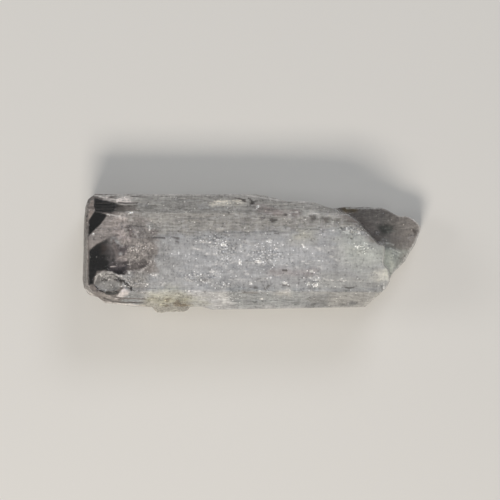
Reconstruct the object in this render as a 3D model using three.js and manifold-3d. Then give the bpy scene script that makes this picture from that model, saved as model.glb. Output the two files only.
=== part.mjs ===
// Danburite crystal: a stout prism, clear at its whole end, milky along its length and broken at the other
// end, where a thinner tongue of it reaches past the rest. It lies on its broadest face.
//
// Millimetres. +X runs along the prism to the broken end, +Y to the back and +Z up. The origin is on the
// surface that the crystal lies on, under the middle of its box.

import * as THREE from "three";
import { mergeVertices } from "three/addons/utils/BufferGeometryUtils.js";
import Module from "manifold-3d";

// The prism before it broke.
const prismHeight = 13.4;
const wholeEndX = -29.8;
const overrun = 2; // how far a solid reaches past the faces that its ends are cut to
const brokenTipX = 30.1;
const ringCount = 30; // rings of points along the prism, so that its ridges can rise and fade

// The faces round the prism as seen from its broken end: each starts where the one before it ends, and runs
// to `to`, [y, z]. A face has `strips` growth ridges along the prism, up to `relief` in or out of it.
const sectionStart = [-6.4, 0];
const prismFaces = {
  base: { to: [6.6, 0], strips: 1, relief: 0 },
  backUnder: { to: [10.4, 4.4], strips: 4, relief: 0.16 },
  backSide: { to: [10.4, 8.7], strips: 4, relief: 0.08 },
  backSlope: { to: [7.0, 11.8], strips: 5, relief: 0.14 },
  backTop: { to: [2.5, 13.1], strips: 5, relief: 0.12 },
  top: { to: [-6.8, prismHeight], strips: 8, relief: 0.1 },
  frontSlope: { to: [-9.95, 8.4], strips: 6, relief: 0.16 },
  frontSide: { to: [-9.95, 5.2], strips: 3, relief: 0.1 },
  frontUnder: { to: sectionStart, strips: 4, relief: 0.16 },
};
const ridgeFlank = 0.14; // width of the little slope between two strips
const ridgeWaves = 0.16; // radians a millimetre: how quickly a strip rises and falls along the prism
const clear = 30; // how far a cut reaches past what it takes away

// The whole end seen from above, from the back round to the front. Each side is a steep facet, with a bevel
// of its own `rim` width above it.
const endStart = [-27.6, 10.4];
const endFacets = [
  { to: [-28.7, 9.4], rim: 1.4 },
  { to: [-29.25, 8.0], rim: 1.35 },
  { to: [wholeEndX, -4.6], rim: 0.85 },
  { to: [-29.55, -6.1], rim: 0.9 },
  { to: [-28.9, -7.1], rim: 0.95 },
  { to: [-28.2, -7.6], rim: 0.95 },
  { to: [-25.9, -8.85], rim: 0.8 },
];
const rimSlope = 2.6; // how far a bevel falls for each millimetre of its width

// The front edge stands back a little beside the whole end, and starts with a shallow notch.
const frontSetback = [
  [-28.6, -12],
  [-28.6, -7.4],
  [-27.9, -7.55],
  [-27.0, -7.7],
  [-26.5, -8.2],
  [-25.9, -8.8],
  [-20.0, -9.5],
  [-8.8, -9.45],
  [-6.6, -10.1],
  [-6.6, -12],
];

// From here the front runs back a little towards the tip.
const frontTaper = { fromX: -6, y: -9.97, toX: 21, endY: -9.5 };

// The back is broken away towards the tip along this line, seen from above.
const backBreak = [
  [-4, 10.9],
  [-1.1, 10.45],
  [1.0, 10.2],
  [3.2, 9.75],
  [5.3, 9.2],
  [7.5, 9.05],
  [9.6, 9.0],
  [11.7, 8.5],
  [13.4, 7.75],
  [15.3, 7.95],
  [18.8, 8.2],
  [22.6, 8.15],
  [23.8, 7.8],
  [24.9, 7.15],
  [25.9, 6.6],
  [27.2, 6.45],
  [28.3, 6.2],
  [29.4, 5.4],
  [brokenTipX, 4.6],
  [31.5, 2.6],
  [34.0, 1.0],
];

const backWall = { away: [0, 1], steps: 44, roughness: 0.16, lean: 0.5, seed: 2 };

// The end is broken on the slant, from the tip to the front edge.
const endBreak = [
  [31.4, 10.5],
  [brokenTipX, 4.8],
  [29.5, 2.9],
  [28.9, 1.7],
  [27.5, -0.6],
  [26.0, -2.5],
  [24.4, -4.4],
  [23.7, -5.8],
  [22.4, -7.1],
  [20.5, -9.0],
  [18.6, -11.0],
];

const endWall = { away: [0.84, -0.54], steps: 30, roughness: 0.2, lean: -0.3, seed: 6 };

// Above the tongue the crystal stops at a step, whose upper edge runs like this, seen from above.
const stepEdge = [
  [10.4, 10.6],
  [13.0, 8.1],
  [15.7, 6.95],
  [18.05, 5.6],
  [19.7, 3.95],
  [21.9, 1.5],
  [23.2, 0.9],
  [22.9, -1.9],
  [23.8, -3.3],
  [24.2, -6.0],
  [24.6, -8.6],
];
const step = { away: [0.72, 0.69], tongueTop: 6.9, fallFromX: 14, fall: 0.11, jag: 0.18 };
// Seen across the step: how far past its edge, and how much of the wall's height is left there.
const stepProfile = [
  [-1.2, 1.25],
  [-0.12, 1.02],
  [0.05, 0.93],
  [0.22, 0.6],
  [0.4, 0.25],
  [0.7, 0],
  [4, 0],
  [8, 0],
  [20, 0],
];

// A stained crust stands out of the front. Seen from above its edge runs like this. Towards its `bottom` and
// its `top` it thins out and narrows to a share of `narrowest`, and from one to the other it leans by `lean`
// along X. Its lumps push it in and out by up to `lumps`.
const crustEdge = [
  [-19.0, -8.6],
  [-18.1, -9.4],
  [-17.3, -10.0],
  [-16.8, -10.45],
  [-16.1, -10.5],
  [-14.2, -10.4],
  [-12.4, -10.35],
  [-11.6, -10.2],
  [-11.2, -9.6],
  [-10.8, -8.6],
];
const crust = { back: -7.6, bottom: 1.2, top: 8.9, lumps: 0.24, fullness: 0.7, narrowest: 0.3, lean: 2.2 };

// A shell-shaped flake is gone from the top beside the whole end.
const flake = { x: -25.4, y: -5.05, long: 3.1, wide: 2.3, deep: 1.3, sunk: 0.55, turn: -0.12 };
const flakeRings = { count: 3, height: 0.035 };

// Shallow growth terraces, each a flat that dips below its face along one side: where its middle is along X
// and across the face from 0 to 1, how long and wide it is, how deep its step is and on which side.
const terraces = [
  { face: "top", x: -12.5, across: 0.22, long: 12.0, wide: 1.8, deep: 0.14, side: 1 },
  { face: "top", x: 1.5, across: 0.42, long: 15.0, wide: 2.2, deep: 0.15, side: -1 },
  { face: "top", x: -6.0, across: 0.78, long: 10.0, wide: 1.9, deep: 0.15, side: 1 },
  { face: "top", x: 10.5, across: 0.72, long: 4.2, wide: 2.6, deep: 0.18, side: -1 },
  { face: "top", x: 15.5, across: 0.25, long: 5.6, wide: 1.7, deep: 0.14, side: 1 },
  { face: "backTop", x: -16.0, across: 0.45, long: 14.0, wide: 1.7, deep: 0.14, side: -1 },
  { face: "backTop", x: 6.0, across: 0.55, long: 9.0, wide: 1.9, deep: 0.15, side: 1 },
  { face: "backSlope", x: -6.4, across: 0.62, long: 6.6, wide: 1.8, deep: 0.42, side: 1 },
  { face: "backSlope", x: -20.5, across: 0.7, long: 8.0, wide: 1.4, deep: 0.32, side: -1 },
  { face: "frontSlope", x: 1.0, across: 0.4, long: 18.0, wide: 1.8, deep: 0.32, side: 1 },
  { face: "frontSlope", x: 13.0, across: 0.7, long: 10.0, wide: 1.5, deep: 0.34, side: -1 },
  { face: "frontUnder", x: 4.0, across: 0.5, long: 20.0, wide: 2.0, deep: 0.36, side: 1 },
  { face: "backUnder", x: -9.0, across: 0.5, long: 17.0, wide: 1.9, deep: 0.36, side: -1 },
  { face: "base", x: 5.0, across: 0.2, long: 13.0, wide: 1.8, deep: 0.24, side: 1 },
];

// Etched hollows with four flat sides lie in groups: the middle of each group, its spread and how many.
const pitGroups = [
  { face: "top", x: -8.0, across: 0.16, spreadX: 4.6, spread: 0.15, count: 9 },
  { face: "top", x: 2.6, across: 0.3, spreadX: 3.6, spread: 0.2, count: 8 },
  { face: "top", x: -5.5, across: 0.72, spreadX: 4.5, spread: 0.18, count: 6 },
  { face: "top", x: 11.2, across: 0.66, spreadX: 1.8, spread: 0.2, count: 5 },
  { face: "backTop", x: 16.0, across: 0.75, spreadX: 2.4, spread: 0.3, count: 4 },
  { face: "backSlope", x: -1.6, across: 0.6, spreadX: 2.6, spread: 0.2, count: 3 },
  { face: "frontSlope", x: 5.0, across: 0.5, spreadX: 9.0, spread: 0.3, count: 5 },
  { face: "base", x: -12.0, across: 0.75, spreadX: 8.0, spread: 0.2, count: 5 },
];
const pit = { least: 0.38, most: 0.8, stretch: 1.5, slope: 0.55 };

const wasm = await Module();
wasm.setup();

// A smooth uneven line from -1 to 1, different for each seed.
function wander(t, seed) {
  const slow = Math.sin(t + 1.7 * seed);
  const middle = Math.sin(2.3 * t + 3.1 * seed);
  const quick = Math.sin(4.9 * t + 5.3 * seed);
  return 0.5 * slow + 0.3 * middle + 0.2 * quick;
}

// Even random numbers from 0 to 1, the same on every run.
function randomFrom(seed) {
  let state = seed;
  return () => {
    state = (state * 1103515245 + 12345) % 2147483648;
    return state / 2147483648;
  };
}

// A closed geometry as a solid, with its shared vertices merged.
function solidOf(geometry) {
  const bare = geometry.clone();
  bare.deleteAttribute("normal");
  bare.deleteAttribute("uv");
  const merged = mergeVertices(bare, 1e-4);
  const triVerts = new Uint32Array(merged.index.array);
  const vertProperties = new Float32Array(merged.attributes.position.array);
  return new wasm.Manifold(new wasm.Mesh({ numProp: 3, vertProperties, triVerts }));
}

// A box of everything beyond a plane.
function beyondPlane(through, facing) {
  const size = 120;
  const turn = new THREE.Quaternion().setFromUnitVectors(
    new THREE.Vector3(0, 0, 1),
    new THREE.Vector3(...facing).normalize(),
  );
  const box = new THREE.BoxGeometry(size, size, size);
  box.translate(0, 0, size / 2);
  box.applyQuaternion(turn);
  box.translate(...through);
  return solidOf(box);
}

// A block whose near side follows surface(s, t) and whose far side follows backing(s, t), with s and t from 0
// to 1. Both give [x, y, z].
function roughBlock(stepsS, stepsT, surface, backing) {
  const block = new THREE.BoxGeometry(1, 1, 1, stepsS, stepsT, 1);
  const place = block.attributes.position;
  for (let i = 0; i < place.count; i++) {
    const s = place.getX(i) + 0.5;
    const t = place.getY(i) + 0.5;
    const side = place.getZ(i) < 0 ? surface : backing;
    place.setXYZ(i, ...side(s, t));
  }
  return solidOf(block);
}

// A smooth line through points seen from above.
function lineThrough(points) {
  return new THREE.SplineCurve(points.map((p) => new THREE.Vector2(...p)));
}

// A plan outline as a Shape.
function planShape(points) {
  return new THREE.Shape(points.map((p) => new THREE.Vector2(...p)));
}

// Each face with its two ends, its length, its direction across and its outward normal, all in [y, z].
function faceFrames() {
  const frames = {};
  let from = new THREE.Vector2(...sectionStart);
  for (const [name, face] of Object.entries(prismFaces)) {
    const to = new THREE.Vector2(...face.to);
    const across = to.clone().sub(from);
    const width = across.length();
    across.normalize();
    frames[name] = { ...face, from, width, across, outward: new THREE.Vector2(across.y, -across.x) };
    from = to;
  }
  return frames;
}

// The section's corners. Each knows its face and strip, so that its height can change along the prism.
function sectionCorners(frames) {
  const random = randomFrom(11);
  const corners = [];
  let seed = 0;
  for (const frame of Object.values(frames)) {
    const edges = [0];
    for (let k = 1; k < frame.strips; k++) {
      edges.push((k + 0.5 * (random() - 0.5)) / frame.strips);
    }
    for (let k = 0; k < frame.strips; k++) {
      seed += 1;
      const start = edges[k] * frame.width + (k ? ridgeFlank / 2 : 0);
      const last = k === frame.strips - 1;
      const end = last ? frame.width : edges[k + 1] * frame.width - ridgeFlank / 2;
      corners.push({ frame, distance: start, seed: k ? seed : 0 });
      if (!last) corners.push({ frame, distance: end, seed });
    }
  }
  return corners;
}

// Where a corner lies at x along the prism. The prism's own edges have seed 0 and stay straight.
function cornerAt({ frame, distance, seed }, x) {
  const lift = seed ? frame.relief * wander(ridgeWaves * x, seed) : 0;
  return frame.from.clone().addScaledVector(frame.across, distance).addScaledVector(frame.outward, lift);
}

// The prism, longer than the crystal, with its growth ridges.
function prism(frames) {
  const corners = sectionCorners(frames);
  const length = brokenTipX - wholeEndX + 2 * overrun;
  const flat = corners.map((corner) => cornerAt({ ...corner, seed: 0 }, 0));
  const body = new THREE.ExtrudeGeometry(new THREE.Shape(flat), {
    depth: length,
    steps: ringCount,
    bevelEnabled: false,
  });
  const place = body.attributes.position;
  for (let i = 0; i < place.count; i++) {
    const here = new THREE.Vector2(place.getX(i), place.getY(i));
    const gaps = flat.map((point) => point.distanceToSquared(here));
    const x = wholeEndX - overrun + place.getZ(i);
    const moved = cornerAt(corners[gaps.indexOf(Math.min(...gaps))], x);
    place.setXYZ(i, x, moved.x, moved.y);
  }
  return solidOf(body);
}

// The steep facets of the whole end and the bevel above each.
function endCuts() {
  const cuts = [];
  let [ax, ay] = endStart;
  for (const { to, rim } of endFacets) {
    const [bx, by] = to;
    const outward = new THREE.Vector2(by - ay, ax - bx).normalize();
    const rimTop = [bx - outward.x * rim, by - outward.y * rim, prismHeight];
    cuts.push(beyondPlane([bx, by, 0], [outward.x, outward.y, 0]));
    cuts.push(beyondPlane(rimTop, [outward.x * rimSlope, outward.y * rimSlope, 1]));
    [ax, ay] = to;
  }
  return cuts;
}

function frontSetbackCut() {
  const depth = prismHeight + 2 * overrun;
  const cut = new THREE.ExtrudeGeometry(planShape(frontSetback), { depth, bevelEnabled: false });
  cut.translate(0, 0, -overrun);
  return solidOf(cut);
}

function frontTaperCut() {
  const { fromX, y, toX, endY } = frontTaper;
  return beyondPlane([fromX, y, 0], [endY - y, fromX - toX, 0]);
}

// A hackly upright wall that follows a line seen from above and takes away what lies beyond it. `away` is the
// direction that it takes away, `lean` how far the wall moves that way from its foot to its top.
function wallCut(points, { away, steps, roughness, lean, seed }) {
  const line = lineThrough(points);
  const levels = 7;
  const bottom = -1;
  const top = prismHeight + 1;
  const surface = (s, t) => {
    const { x, y } = line.getPoint(t);
    const z = bottom + (top - bottom) * s;
    const slow = wander(0.55 * x + 0.4 * z, seed);
    const quick = wander(1.9 * x - 1.3 * z, seed + 2);
    const shift = roughness * (slow + 0.5 * quick) + lean * (s - 0.5);
    return [x + away[0] * shift, y + away[1] * shift, z];
  };
  const backing = (s, t) => {
    const [x, y, z] = surface(s, t);
    return [x + clear * away[0], y + clear * away[1], z];
  };
  return roughBlock(levels, steps, surface, backing);
}

// The missing upper part above the tongue: a floor that falls to the tip, and the curved wall of the step.
function stepCut() {
  const edge = lineThrough(stepEdge);
  const lastRow = stepProfile.length - 1;
  const surface = (s, t) => {
    const [past, left] = stepProfile[Math.round(t * lastRow)];
    const from = edge.getPoint(s);
    const onWall = left > 0;
    const reach = past + (onWall ? step.jag * wander(26 * s, 4) : 0);
    const x = from.x + step.away[0] * reach;
    const y = from.y + step.away[1] * reach;
    const ripple = 0.16 * wander(0.9 * x, 3) + 0.12 * wander(1.3 * y + 0.5 * x, 7);
    const floor = step.tongueTop - step.fall * Math.max(0, x - step.fallFromX) + (onWall ? 0.4 : 1) * ripple;
    return [x, y, floor + left * (prismHeight - floor)];
  };
  const backing = (s, t) => {
    const [x, y] = surface(s, t);
    return [x, y, prismHeight + clear];
  };
  return roughBlock(34, lastRow, surface, backing);
}

// The stained crust, from inside the prism out to its lumpy front.
function crustSolid() {
  const edge = lineThrough(crustEdge);
  const middle = edge.getPoint(0.5).x;
  const swell = (t) => Math.sin(Math.PI * t) ** crust.fullness;
  const inside = (s, t) => {
    const spread = crust.narrowest + (1 - crust.narrowest) * swell(t);
    const x = middle + (edge.getPoint(s).x - middle) * spread + crust.lean * (t - 0.5);
    return [x, crust.back, crust.bottom + (crust.top - crust.bottom) * t];
  };
  const outside = (s, t) => {
    const [x, , z] = inside(s, t);
    const lump = Math.abs(wander(2.9 * x + 1.7 * z, 9)) + Math.abs(wander(1.3 * x - 3.7 * z, 13));
    const reach = crust.back - edge.getPoint(s).y - crust.lumps * lump;
    return [x, crust.back - 0.2 - reach * swell(t), z];
  };
  return roughBlock(18, 13, inside, outside);
}

// The flake's hollow, with rings like those inside a shell.
function flakeCut() {
  const ball = new THREE.SphereGeometry(1, 40, 24);
  const place = ball.attributes.position;
  for (let i = 0; i < place.count; i++) {
    const [x, y, z] = [place.getX(i), place.getY(i), place.getZ(i)];
    const out = Math.hypot(x + 0.5, y);
    const ring = 1 + flakeRings.height * Math.cos(2 * Math.PI * flakeRings.count * out);
    place.setXYZ(i, flake.long * x, flake.wide * y, flake.deep * z * ring);
  }
  ball.rotateZ(flake.turn);
  ball.translate(flake.x, flake.y, prismHeight + flake.deep - flake.sunk);
  return solidOf(ball);
}

// A matrix that stands something on a face: its own X runs along the prism and its Z out of the face.
function onFace(frame, x, across) {
  const at = frame.from.clone().addScaledVector(frame.across, across * frame.width);
  const matrix = new THREE.Matrix4().makeBasis(
    new THREE.Vector3(1, 0, 0),
    new THREE.Vector3(0, -frame.across.x, -frame.across.y),
    new THREE.Vector3(0, frame.outward.x, frame.outward.y),
  );
  return matrix.setPosition(x, at.x, at.y);
}

// A long, pointed slab that leaves its flat when it is cut away.
function terraceCut(frames, { face, x, across, long, wide, deep, side }) {
  const outline = [
    [-long / 2, -0.1 * wide],
    [-long / 2 + 0.5 * wide, -wide / 2],
    [long / 2 - 0.9 * wide, -wide / 2],
    [long / 2, 0.2 * wide],
    [long / 2 - 0.3 * wide, wide / 2],
    [-long / 2 + 0.8 * wide, wide / 2],
  ];
  const slab = new THREE.ExtrudeGeometry(planShape(outline), { depth: 4 * deep, bevelEnabled: false });
  slab.translate(0, 0, -deep / 2);
  slab.rotateX(side * Math.atan2(deep, wide));
  slab.applyMatrix4(onFace(frames[face], x, across));
  return solidOf(slab);
}

// Four-sided pits whose long way runs along the prism.
function pitCuts(frames) {
  const random = randomFrom(5);
  const cuts = [];
  for (const { face, x, across, spreadX, spread, count } of pitGroups) {
    for (let i = 0; i < count; i++) {
      const radius = pit.least + (pit.most - pit.least) * random() ** 2;
      const deep = pit.slope * radius;
      const hollow = new THREE.ConeGeometry(radius, 2 * deep, 4);
      hollow.rotateX(-Math.PI / 2);
      hollow.rotateZ(Math.PI / 4);
      hollow.scale(pit.stretch, 1, 1);
      const atX = x + spreadX * (2 * random() - 1);
      const atAcross = across + spread * (2 * random() - 1);
      hollow.applyMatrix4(onFace(frames[face], atX, atAcross));
      cuts.push(solidOf(hollow));
    }
  }
  return cuts;
}

// The whole crystal with its facets' own normals.
function crystalGeometry() {
  const frames = faceFrames();
  const cuts = [
    ...endCuts(),
    frontSetbackCut(),
    frontTaperCut(),
    wallCut(backBreak, backWall),
    wallCut(endBreak, endWall),
    stepCut(),
    flakeCut(),
    ...terraces.map((terrace) => terraceCut(frames, terrace)),
    ...pitCuts(frames),
  ];
  let crystal = prism(frames);
  for (const cut of cuts) crystal = crystal.subtract(cut);
  crystal = crystal.add(crustSolid());

  const { numProp, numVert, vertProperties, triVerts } = crystal.getMesh();
  const points = new Float32Array(numVert * 3);
  for (let i = 0; i < numVert; i++) points.set(vertProperties.subarray(i * numProp, i * numProp + 3), i * 3);
  const shared = new THREE.BufferGeometry();
  shared.setAttribute("position", new THREE.BufferAttribute(points, 3));
  shared.setIndex(new THREE.BufferAttribute(new Uint32Array(triVerts), 1));
  const facets = shared.toNonIndexed();
  facets.computeVertexNormals();
  facets.computeBoundingBox();
  return facets;
}

const paleStone = new THREE.MeshStandardMaterial({ color: 0xbfc0c0, roughness: 0.25, metalness: 0 });
const crystal = new THREE.Mesh(crystalGeometry(), paleStone);
crystal.name = "danburite_crystal";

// The breaks leave the box a little off centre, so the mesh is set over the origin here.
const box = crystal.geometry.boundingBox;
crystal.position.set(-(box.min.x + box.max.x) / 2, -(box.min.y + box.max.y) / 2, -box.min.z);

const part = new THREE.Group();
part.add(crystal);

export default part;
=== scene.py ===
import math
import random

import bmesh
import bpy
import numpy as np
from mathutils import Matrix, Vector, noise


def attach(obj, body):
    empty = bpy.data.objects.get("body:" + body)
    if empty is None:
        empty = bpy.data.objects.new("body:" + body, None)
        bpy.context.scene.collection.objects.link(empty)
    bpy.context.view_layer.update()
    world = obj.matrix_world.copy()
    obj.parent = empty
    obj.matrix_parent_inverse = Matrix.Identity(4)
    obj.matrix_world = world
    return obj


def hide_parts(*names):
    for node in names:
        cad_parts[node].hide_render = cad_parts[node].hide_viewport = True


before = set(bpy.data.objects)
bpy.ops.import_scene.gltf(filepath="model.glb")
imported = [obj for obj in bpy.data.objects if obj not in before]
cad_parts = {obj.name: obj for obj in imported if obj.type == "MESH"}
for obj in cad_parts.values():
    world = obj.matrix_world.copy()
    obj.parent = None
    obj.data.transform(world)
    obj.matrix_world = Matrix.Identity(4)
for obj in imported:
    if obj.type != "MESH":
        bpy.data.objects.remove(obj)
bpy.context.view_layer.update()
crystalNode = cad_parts["danburite_crystal"]

mm = 0.001  # every size below is in millimetres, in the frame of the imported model


def linear(hexColour):
    # sRGB hex to linear RGBA
    parts = [int(hexColour[i:i + 2], 16) / 255 for i in (1, 3, 5)]
    return (*[p / 12.92 if p <= 0.04045 else ((p + 0.055) / 1.055) ** 2.4 for p in parts], 1.0)


def addNode(tree, kind, settings=None, **inputs):
    # one shader node with its settings, and a value or another node's output for each of its sockets, which
    # are called by name, with _ for a blank, or by _ and their number
    node = tree.nodes.new(kind)
    for name, value in (settings or {}).items():
        setattr(node, name, value)
    for name, value in inputs.items():
        key = int(name[1:]) if name[0] == "_" else name.replace("_", " ")
        if isinstance(value, bpy.types.NodeSocket):
            tree.links.new(value, node.inputs[key])
        else:
            node.inputs[key].default_value = value
    return node


def maths(tree, operation, *values, clamp=False):
    # one step of arithmetic on numbers and outputs
    settings = {"operation": operation, "use_clamp": clamp}
    inputs = {f"_{index}": value for index, value in enumerate(values)}
    return addNode(tree, "ShaderNodeMath", settings, **inputs).outputs[0]


def vectorMaths(tree, operation, **inputs):
    # one step of arithmetic on vectors and colours
    return addNode(tree, "ShaderNodeVectorMath", {"operation": operation}, **inputs).outputs[0]


def ranged(tree, value, low, high, **limits):
    # a value from 0 to 1, or between the given limits, turned into one from low to high
    return addNode(tree, "ShaderNodeMapRange", Value=value, To_Min=low, To_Max=high, **limits).outputs[0]


def newMaterial(name):
    material = bpy.data.materials.new(name)
    material.use_nodes = True
    material.node_tree.nodes.clear()
    return material, material.node_tree


def smoothStep(low, high, value):
    t = np.clip((value - low) / (high - low), 0.0, 1.0)
    return t * t * (3 - 2 * t)


def noiseAt(points, name):
    # smooth noise, about -1 to 1, added up from the layers of one of the patterns
    total = np.zeros(len(points))
    for cycles, start, weight in patterns[name]:
        shift = Vector((17.3 * start, -9.1 * start, 5.7 * start))
        total += weight * np.array([noise.noise(Vector(p) + shift) for p in points * np.array(cycles)])
    return total


# the camera stands over the crystal, and the light comes from the front

studio = {
    "cameraAbove": 420.0,      # how far the camera stands over the middle of the crystal
    "viewWidth": 88.65,        # what the picture spans at that middle
    "lookAt": (-0.62, 0.58, 6.5),
    "sensorWidth": 36.0,
    "clip": (10.0, 10000.0),   # the nearest and the farthest that the camera sees
    "floorColour": "#e0ded9",
    "floorRoughness": 0.85,
    "floorHalf": 700.0,
    "floorDrop": 0.03,         # the floor lies this far under the base, so the two don't flicker
    "worldColour": "#e4e7ea",
    "worldStrength": 0.36,
    "clearBounces": 20,        # light passes many faces inside the crystal
    "glossBounces": 6,
}
softBoxes = {
    # name: place, aims at, width, height, watts, colour
    "frontSoftBox": ((-90, -420, 430), (0, 0, 6), 240, 180, 2.15, "#fff7ee"),
    "backSoftBox": ((180, 430, 400), (0, 0, 6), 260, 180, 0.75, "#f4f6ff"),
    "leftSoftBox": ((-470, 60, 330), (0, 0, 6), 200, 160, 0.45, "#ffffff"),
}


def makeCamera():
    camera = bpy.data.cameras.new("topCamera")
    camera.type = "PERSP"
    camera.sensor_width = studio["sensorWidth"]
    camera.lens = camera.sensor_width * studio["cameraAbove"] / studio["viewWidth"]
    camera.clip_start, camera.clip_end = [distance * mm for distance in studio["clip"]]
    holder = bpy.data.objects.new("topCamera", camera)
    x, y, z = studio["lookAt"]
    holder.location = (x * mm, y * mm, (z + studio["cameraAbove"]) * mm)
    bpy.context.collection.objects.link(holder)
    bpy.context.scene.camera = holder


def makeFloor():
    bm = bmesh.new()
    bmesh.ops.create_grid(bm, x_segments=1, y_segments=1, size=studio["floorHalf"] * mm)
    mesh = bpy.data.meshes.new("studioFloor")
    bm.to_mesh(mesh)
    bm.free()
    mesh.transform(Matrix.Translation((0, 0, -studio["floorDrop"] * mm)))
    floor = bpy.data.objects.new("studioFloor", mesh)
    bpy.context.collection.objects.link(floor)
    # matt paper, which gives a soft shadow and no mirror image
    material, tree = newMaterial("mattPaperSweep")
    paper = addNode(tree, "ShaderNodeBsdfPrincipled", Base_Color=linear(studio["floorColour"]),
                    Roughness=studio["floorRoughness"])
    addNode(tree, "ShaderNodeOutputMaterial", Surface=paper.outputs[0])
    mesh.materials.append(material)


def makeLights():
    for name, (place, aim, width, height, watts, colour) in softBoxes.items():
        light = bpy.data.lights.new(name, "AREA")
        light.shape = "RECTANGLE"
        light.size = width * mm
        light.size_y = height * mm
        light.energy = watts
        light.color = linear(colour)[:3]
        holder = bpy.data.objects.new(name, light)
        holder.location = Vector(place) * mm
        holder.rotation_euler = (Vector(aim) - Vector(place)).to_track_quat("-Z", "Y").to_euler()
        bpy.context.collection.objects.link(holder)
    world = bpy.data.worlds.new("paleRoom")
    world.use_nodes = True
    back = world.node_tree.nodes["Background"]
    back.inputs["Color"].default_value = linear(studio["worldColour"])
    back.inputs["Strength"].default_value = studio["worldStrength"]
    settings = bpy.context.scene
    settings.world = world
    settings.view_settings.view_transform = "Standard"
    settings.cycles.max_bounces = studio["clearBounces"]
    settings.cycles.transmission_bounces = studio["clearBounces"]
    settings.cycles.glossy_bounces = studio["glossBounces"]


makeCamera()
makeFloor()
makeLights()
print("camera, floor and lights are in place")


# the skin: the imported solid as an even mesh, with the fine relief of natural faces

patterns = {
    # layers of smooth noise: cycles a millimetre along x, y and z, where the noise starts, and weight
    "streaks": [((0.05, 1.5, 1.5), 1, 1.0), ((0.105, 3.15, 3.15), 2, 0.5)],
    "grains": [((1.9, 1.9, 1.9), 3, 1.0)],
    "uneven": [((0.12, 0.4, 0.4), 4, 1.0)],
    "crustEdge": [((0.5, 0.5, 0.5), 9, 1.0), ((1.3, 1.3, 1.3), 21, 0.5)],
    "raggedEdge": [((0.5, 1.0, 1.0), 12, 1.0), ((1.6, 2.4, 2.4), 13, 0.6)],
    "brokenLine": [((1.8, 3.0, 3.0), 14, 1.0)],
    "rippleEdge": [((0.8, 0.8, 0.8), 15, 1.0)],
    "wearAndHighlight": [((1.1, 1.6, 1.6), 16, 1.0)],
    "veils": [((0.2, 0.24, 0.28), 17, 1.0), ((0.6, 0.8, 0.7), 18, 0.6)],
    "plates": [((0.15, 0.22, 0.3), 19, 1.0), ((0.3, 0.8, 0.9), 20, 0.35)],
    "wisps": [((0.13, 0.17, 0.2), 22, 1.0), ((0.6, 0.8, 0.7), 23, 0.3)],
}
skin = {
    "remeshDepth": 8,          # the longest side is split into 2 to this power cells
    "remeshScale": 0.99,       # how much of the box of cells the crystal fills
    "weldWithin": 0.0001,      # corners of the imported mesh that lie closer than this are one
    "fineUpTo": -20.5,         # past this x, towards the whole end, the upper side has cells half as wide
    "fineFacing": 0.15,        # how far up such a face looks at least
    "baseKept": 0.35,          # the base stays flat, and nothing under this height is smoothed
    "smoothing": 0.5,          # how far a point moves towards its neighbours in one round
    "topFacing": 0.93,         # how far up the top looks at least
    "topFrom": 11.0,           # and how high it lies at least
    "terraceRounds": 12,       # how often the growth terraces of the top are smoothed
    "windowRounds": 45,        # those of the clear end, whose faces are the smoothest
    "slopeRounds": 10,         # and those of the front slope
    "slopeEdges": ((-6.8, 13.4), (-9.95, 8.4)),  # y and z of the front slope's upper and lower edges
    "slopeDepth": 0.5,         # how far off the slope a point counts as on it
    "slopeMargins": (0.4, 0.5),  # what is left out below its upper edge and above its lower edge
    "sharpAngle": 26,          # edges sharper than this are shaded as edges
}
relief = {
    "streakHeight": 0.05,      # growth striations along the prism
    "unevenHeight": 0.03,      # slow unevenness of the natural faces
    "grainHeight": 0.14,       # grains of the crust
    "rippleHeight": 0.035,
    "rippleFacing": (0.5, 0.8),  # how far up a face looks where the ripples start and are full
    "acrossEnds": (0.35, 0.7),   # how far along the prism a face looks where its relief fades
    "baseFade": (0.02, 0.3),     # the height over which the relief fades in above the base
    "calmEnd": (-25.5, -22.5),   # over this stretch of x the faces of the whole end turn calmer
    "endCalm": 0.75,           # by this share
    "plateHeight": 0.02,       # growth plates on the face of the whole end
    "plateSteps": (-0.25, 0.0, 0.25),  # where in their noise the next plate starts
    "plateSoft": 0.08,
    "plateFacing": (0.8, 0.95),  # how far towards the whole end a face looks where they start and are full
    "platesUpTo": (-27, -26),  # x where they end
}
pits = {
    # four-sided hollows of the etching
    "seed": 31,
    "facing": 0.5,             # how far up a face looks at least to have them
    "radius": (0.22, 0.55),
    "depth": 0.22,             # of the widest one
    "longer": (1.0, 1.9),      # how much longer than wide
    "rim": 1.2,                # how far out a pit starts, in radii
    "floor": 0.9,              # how deep its flat floor lies, as a share of the depth
    "within": (3, 2),          # points more radii away than this, along and across, are outside it
}
pitGroups = {
    # where the etch pits are: middle x and y, spread along and across, how many
    "middleCluster": (-3.9, 0.2, 2.8, 2.6, 34),
    "middleRow": (-5.9, -4.2, 6.5, 1.2, 22),
    "backCluster": (19.1, 4.6, 2.2, 0.6, 12),
    "farCluster": (11.5, -3.6, 0.9, 1.6, 20),
    "leftScatter": (-14.4, 0.0, 3.5, 3.5, 16),
    "rightScatter": (7.1, 0.0, 6.0, 3.0, 18),
}
levelling = {
    "topAbove": 13.0,          # the level is the middle height of what lies above this
    "share": 0.7,              # how much the growth terraces of the top are evened out
    "below": (0.7, 0.5),       # how far under the level that starts and is full
    "from": (-21.5, -20.5),    # x at the whole end where it fades in
    "brokenEdge": (22.6, 22.2, 1.1),  # greatest x of the broken edge, its x at y 0, and how it slants
    "beforeBroken": (-1.2, -0.4),     # how far from that edge it fades out
    "front": (-6.4, -6.0),     # y where it fades in
    "back": (1.8, 2.3),        # and out
}
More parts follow.
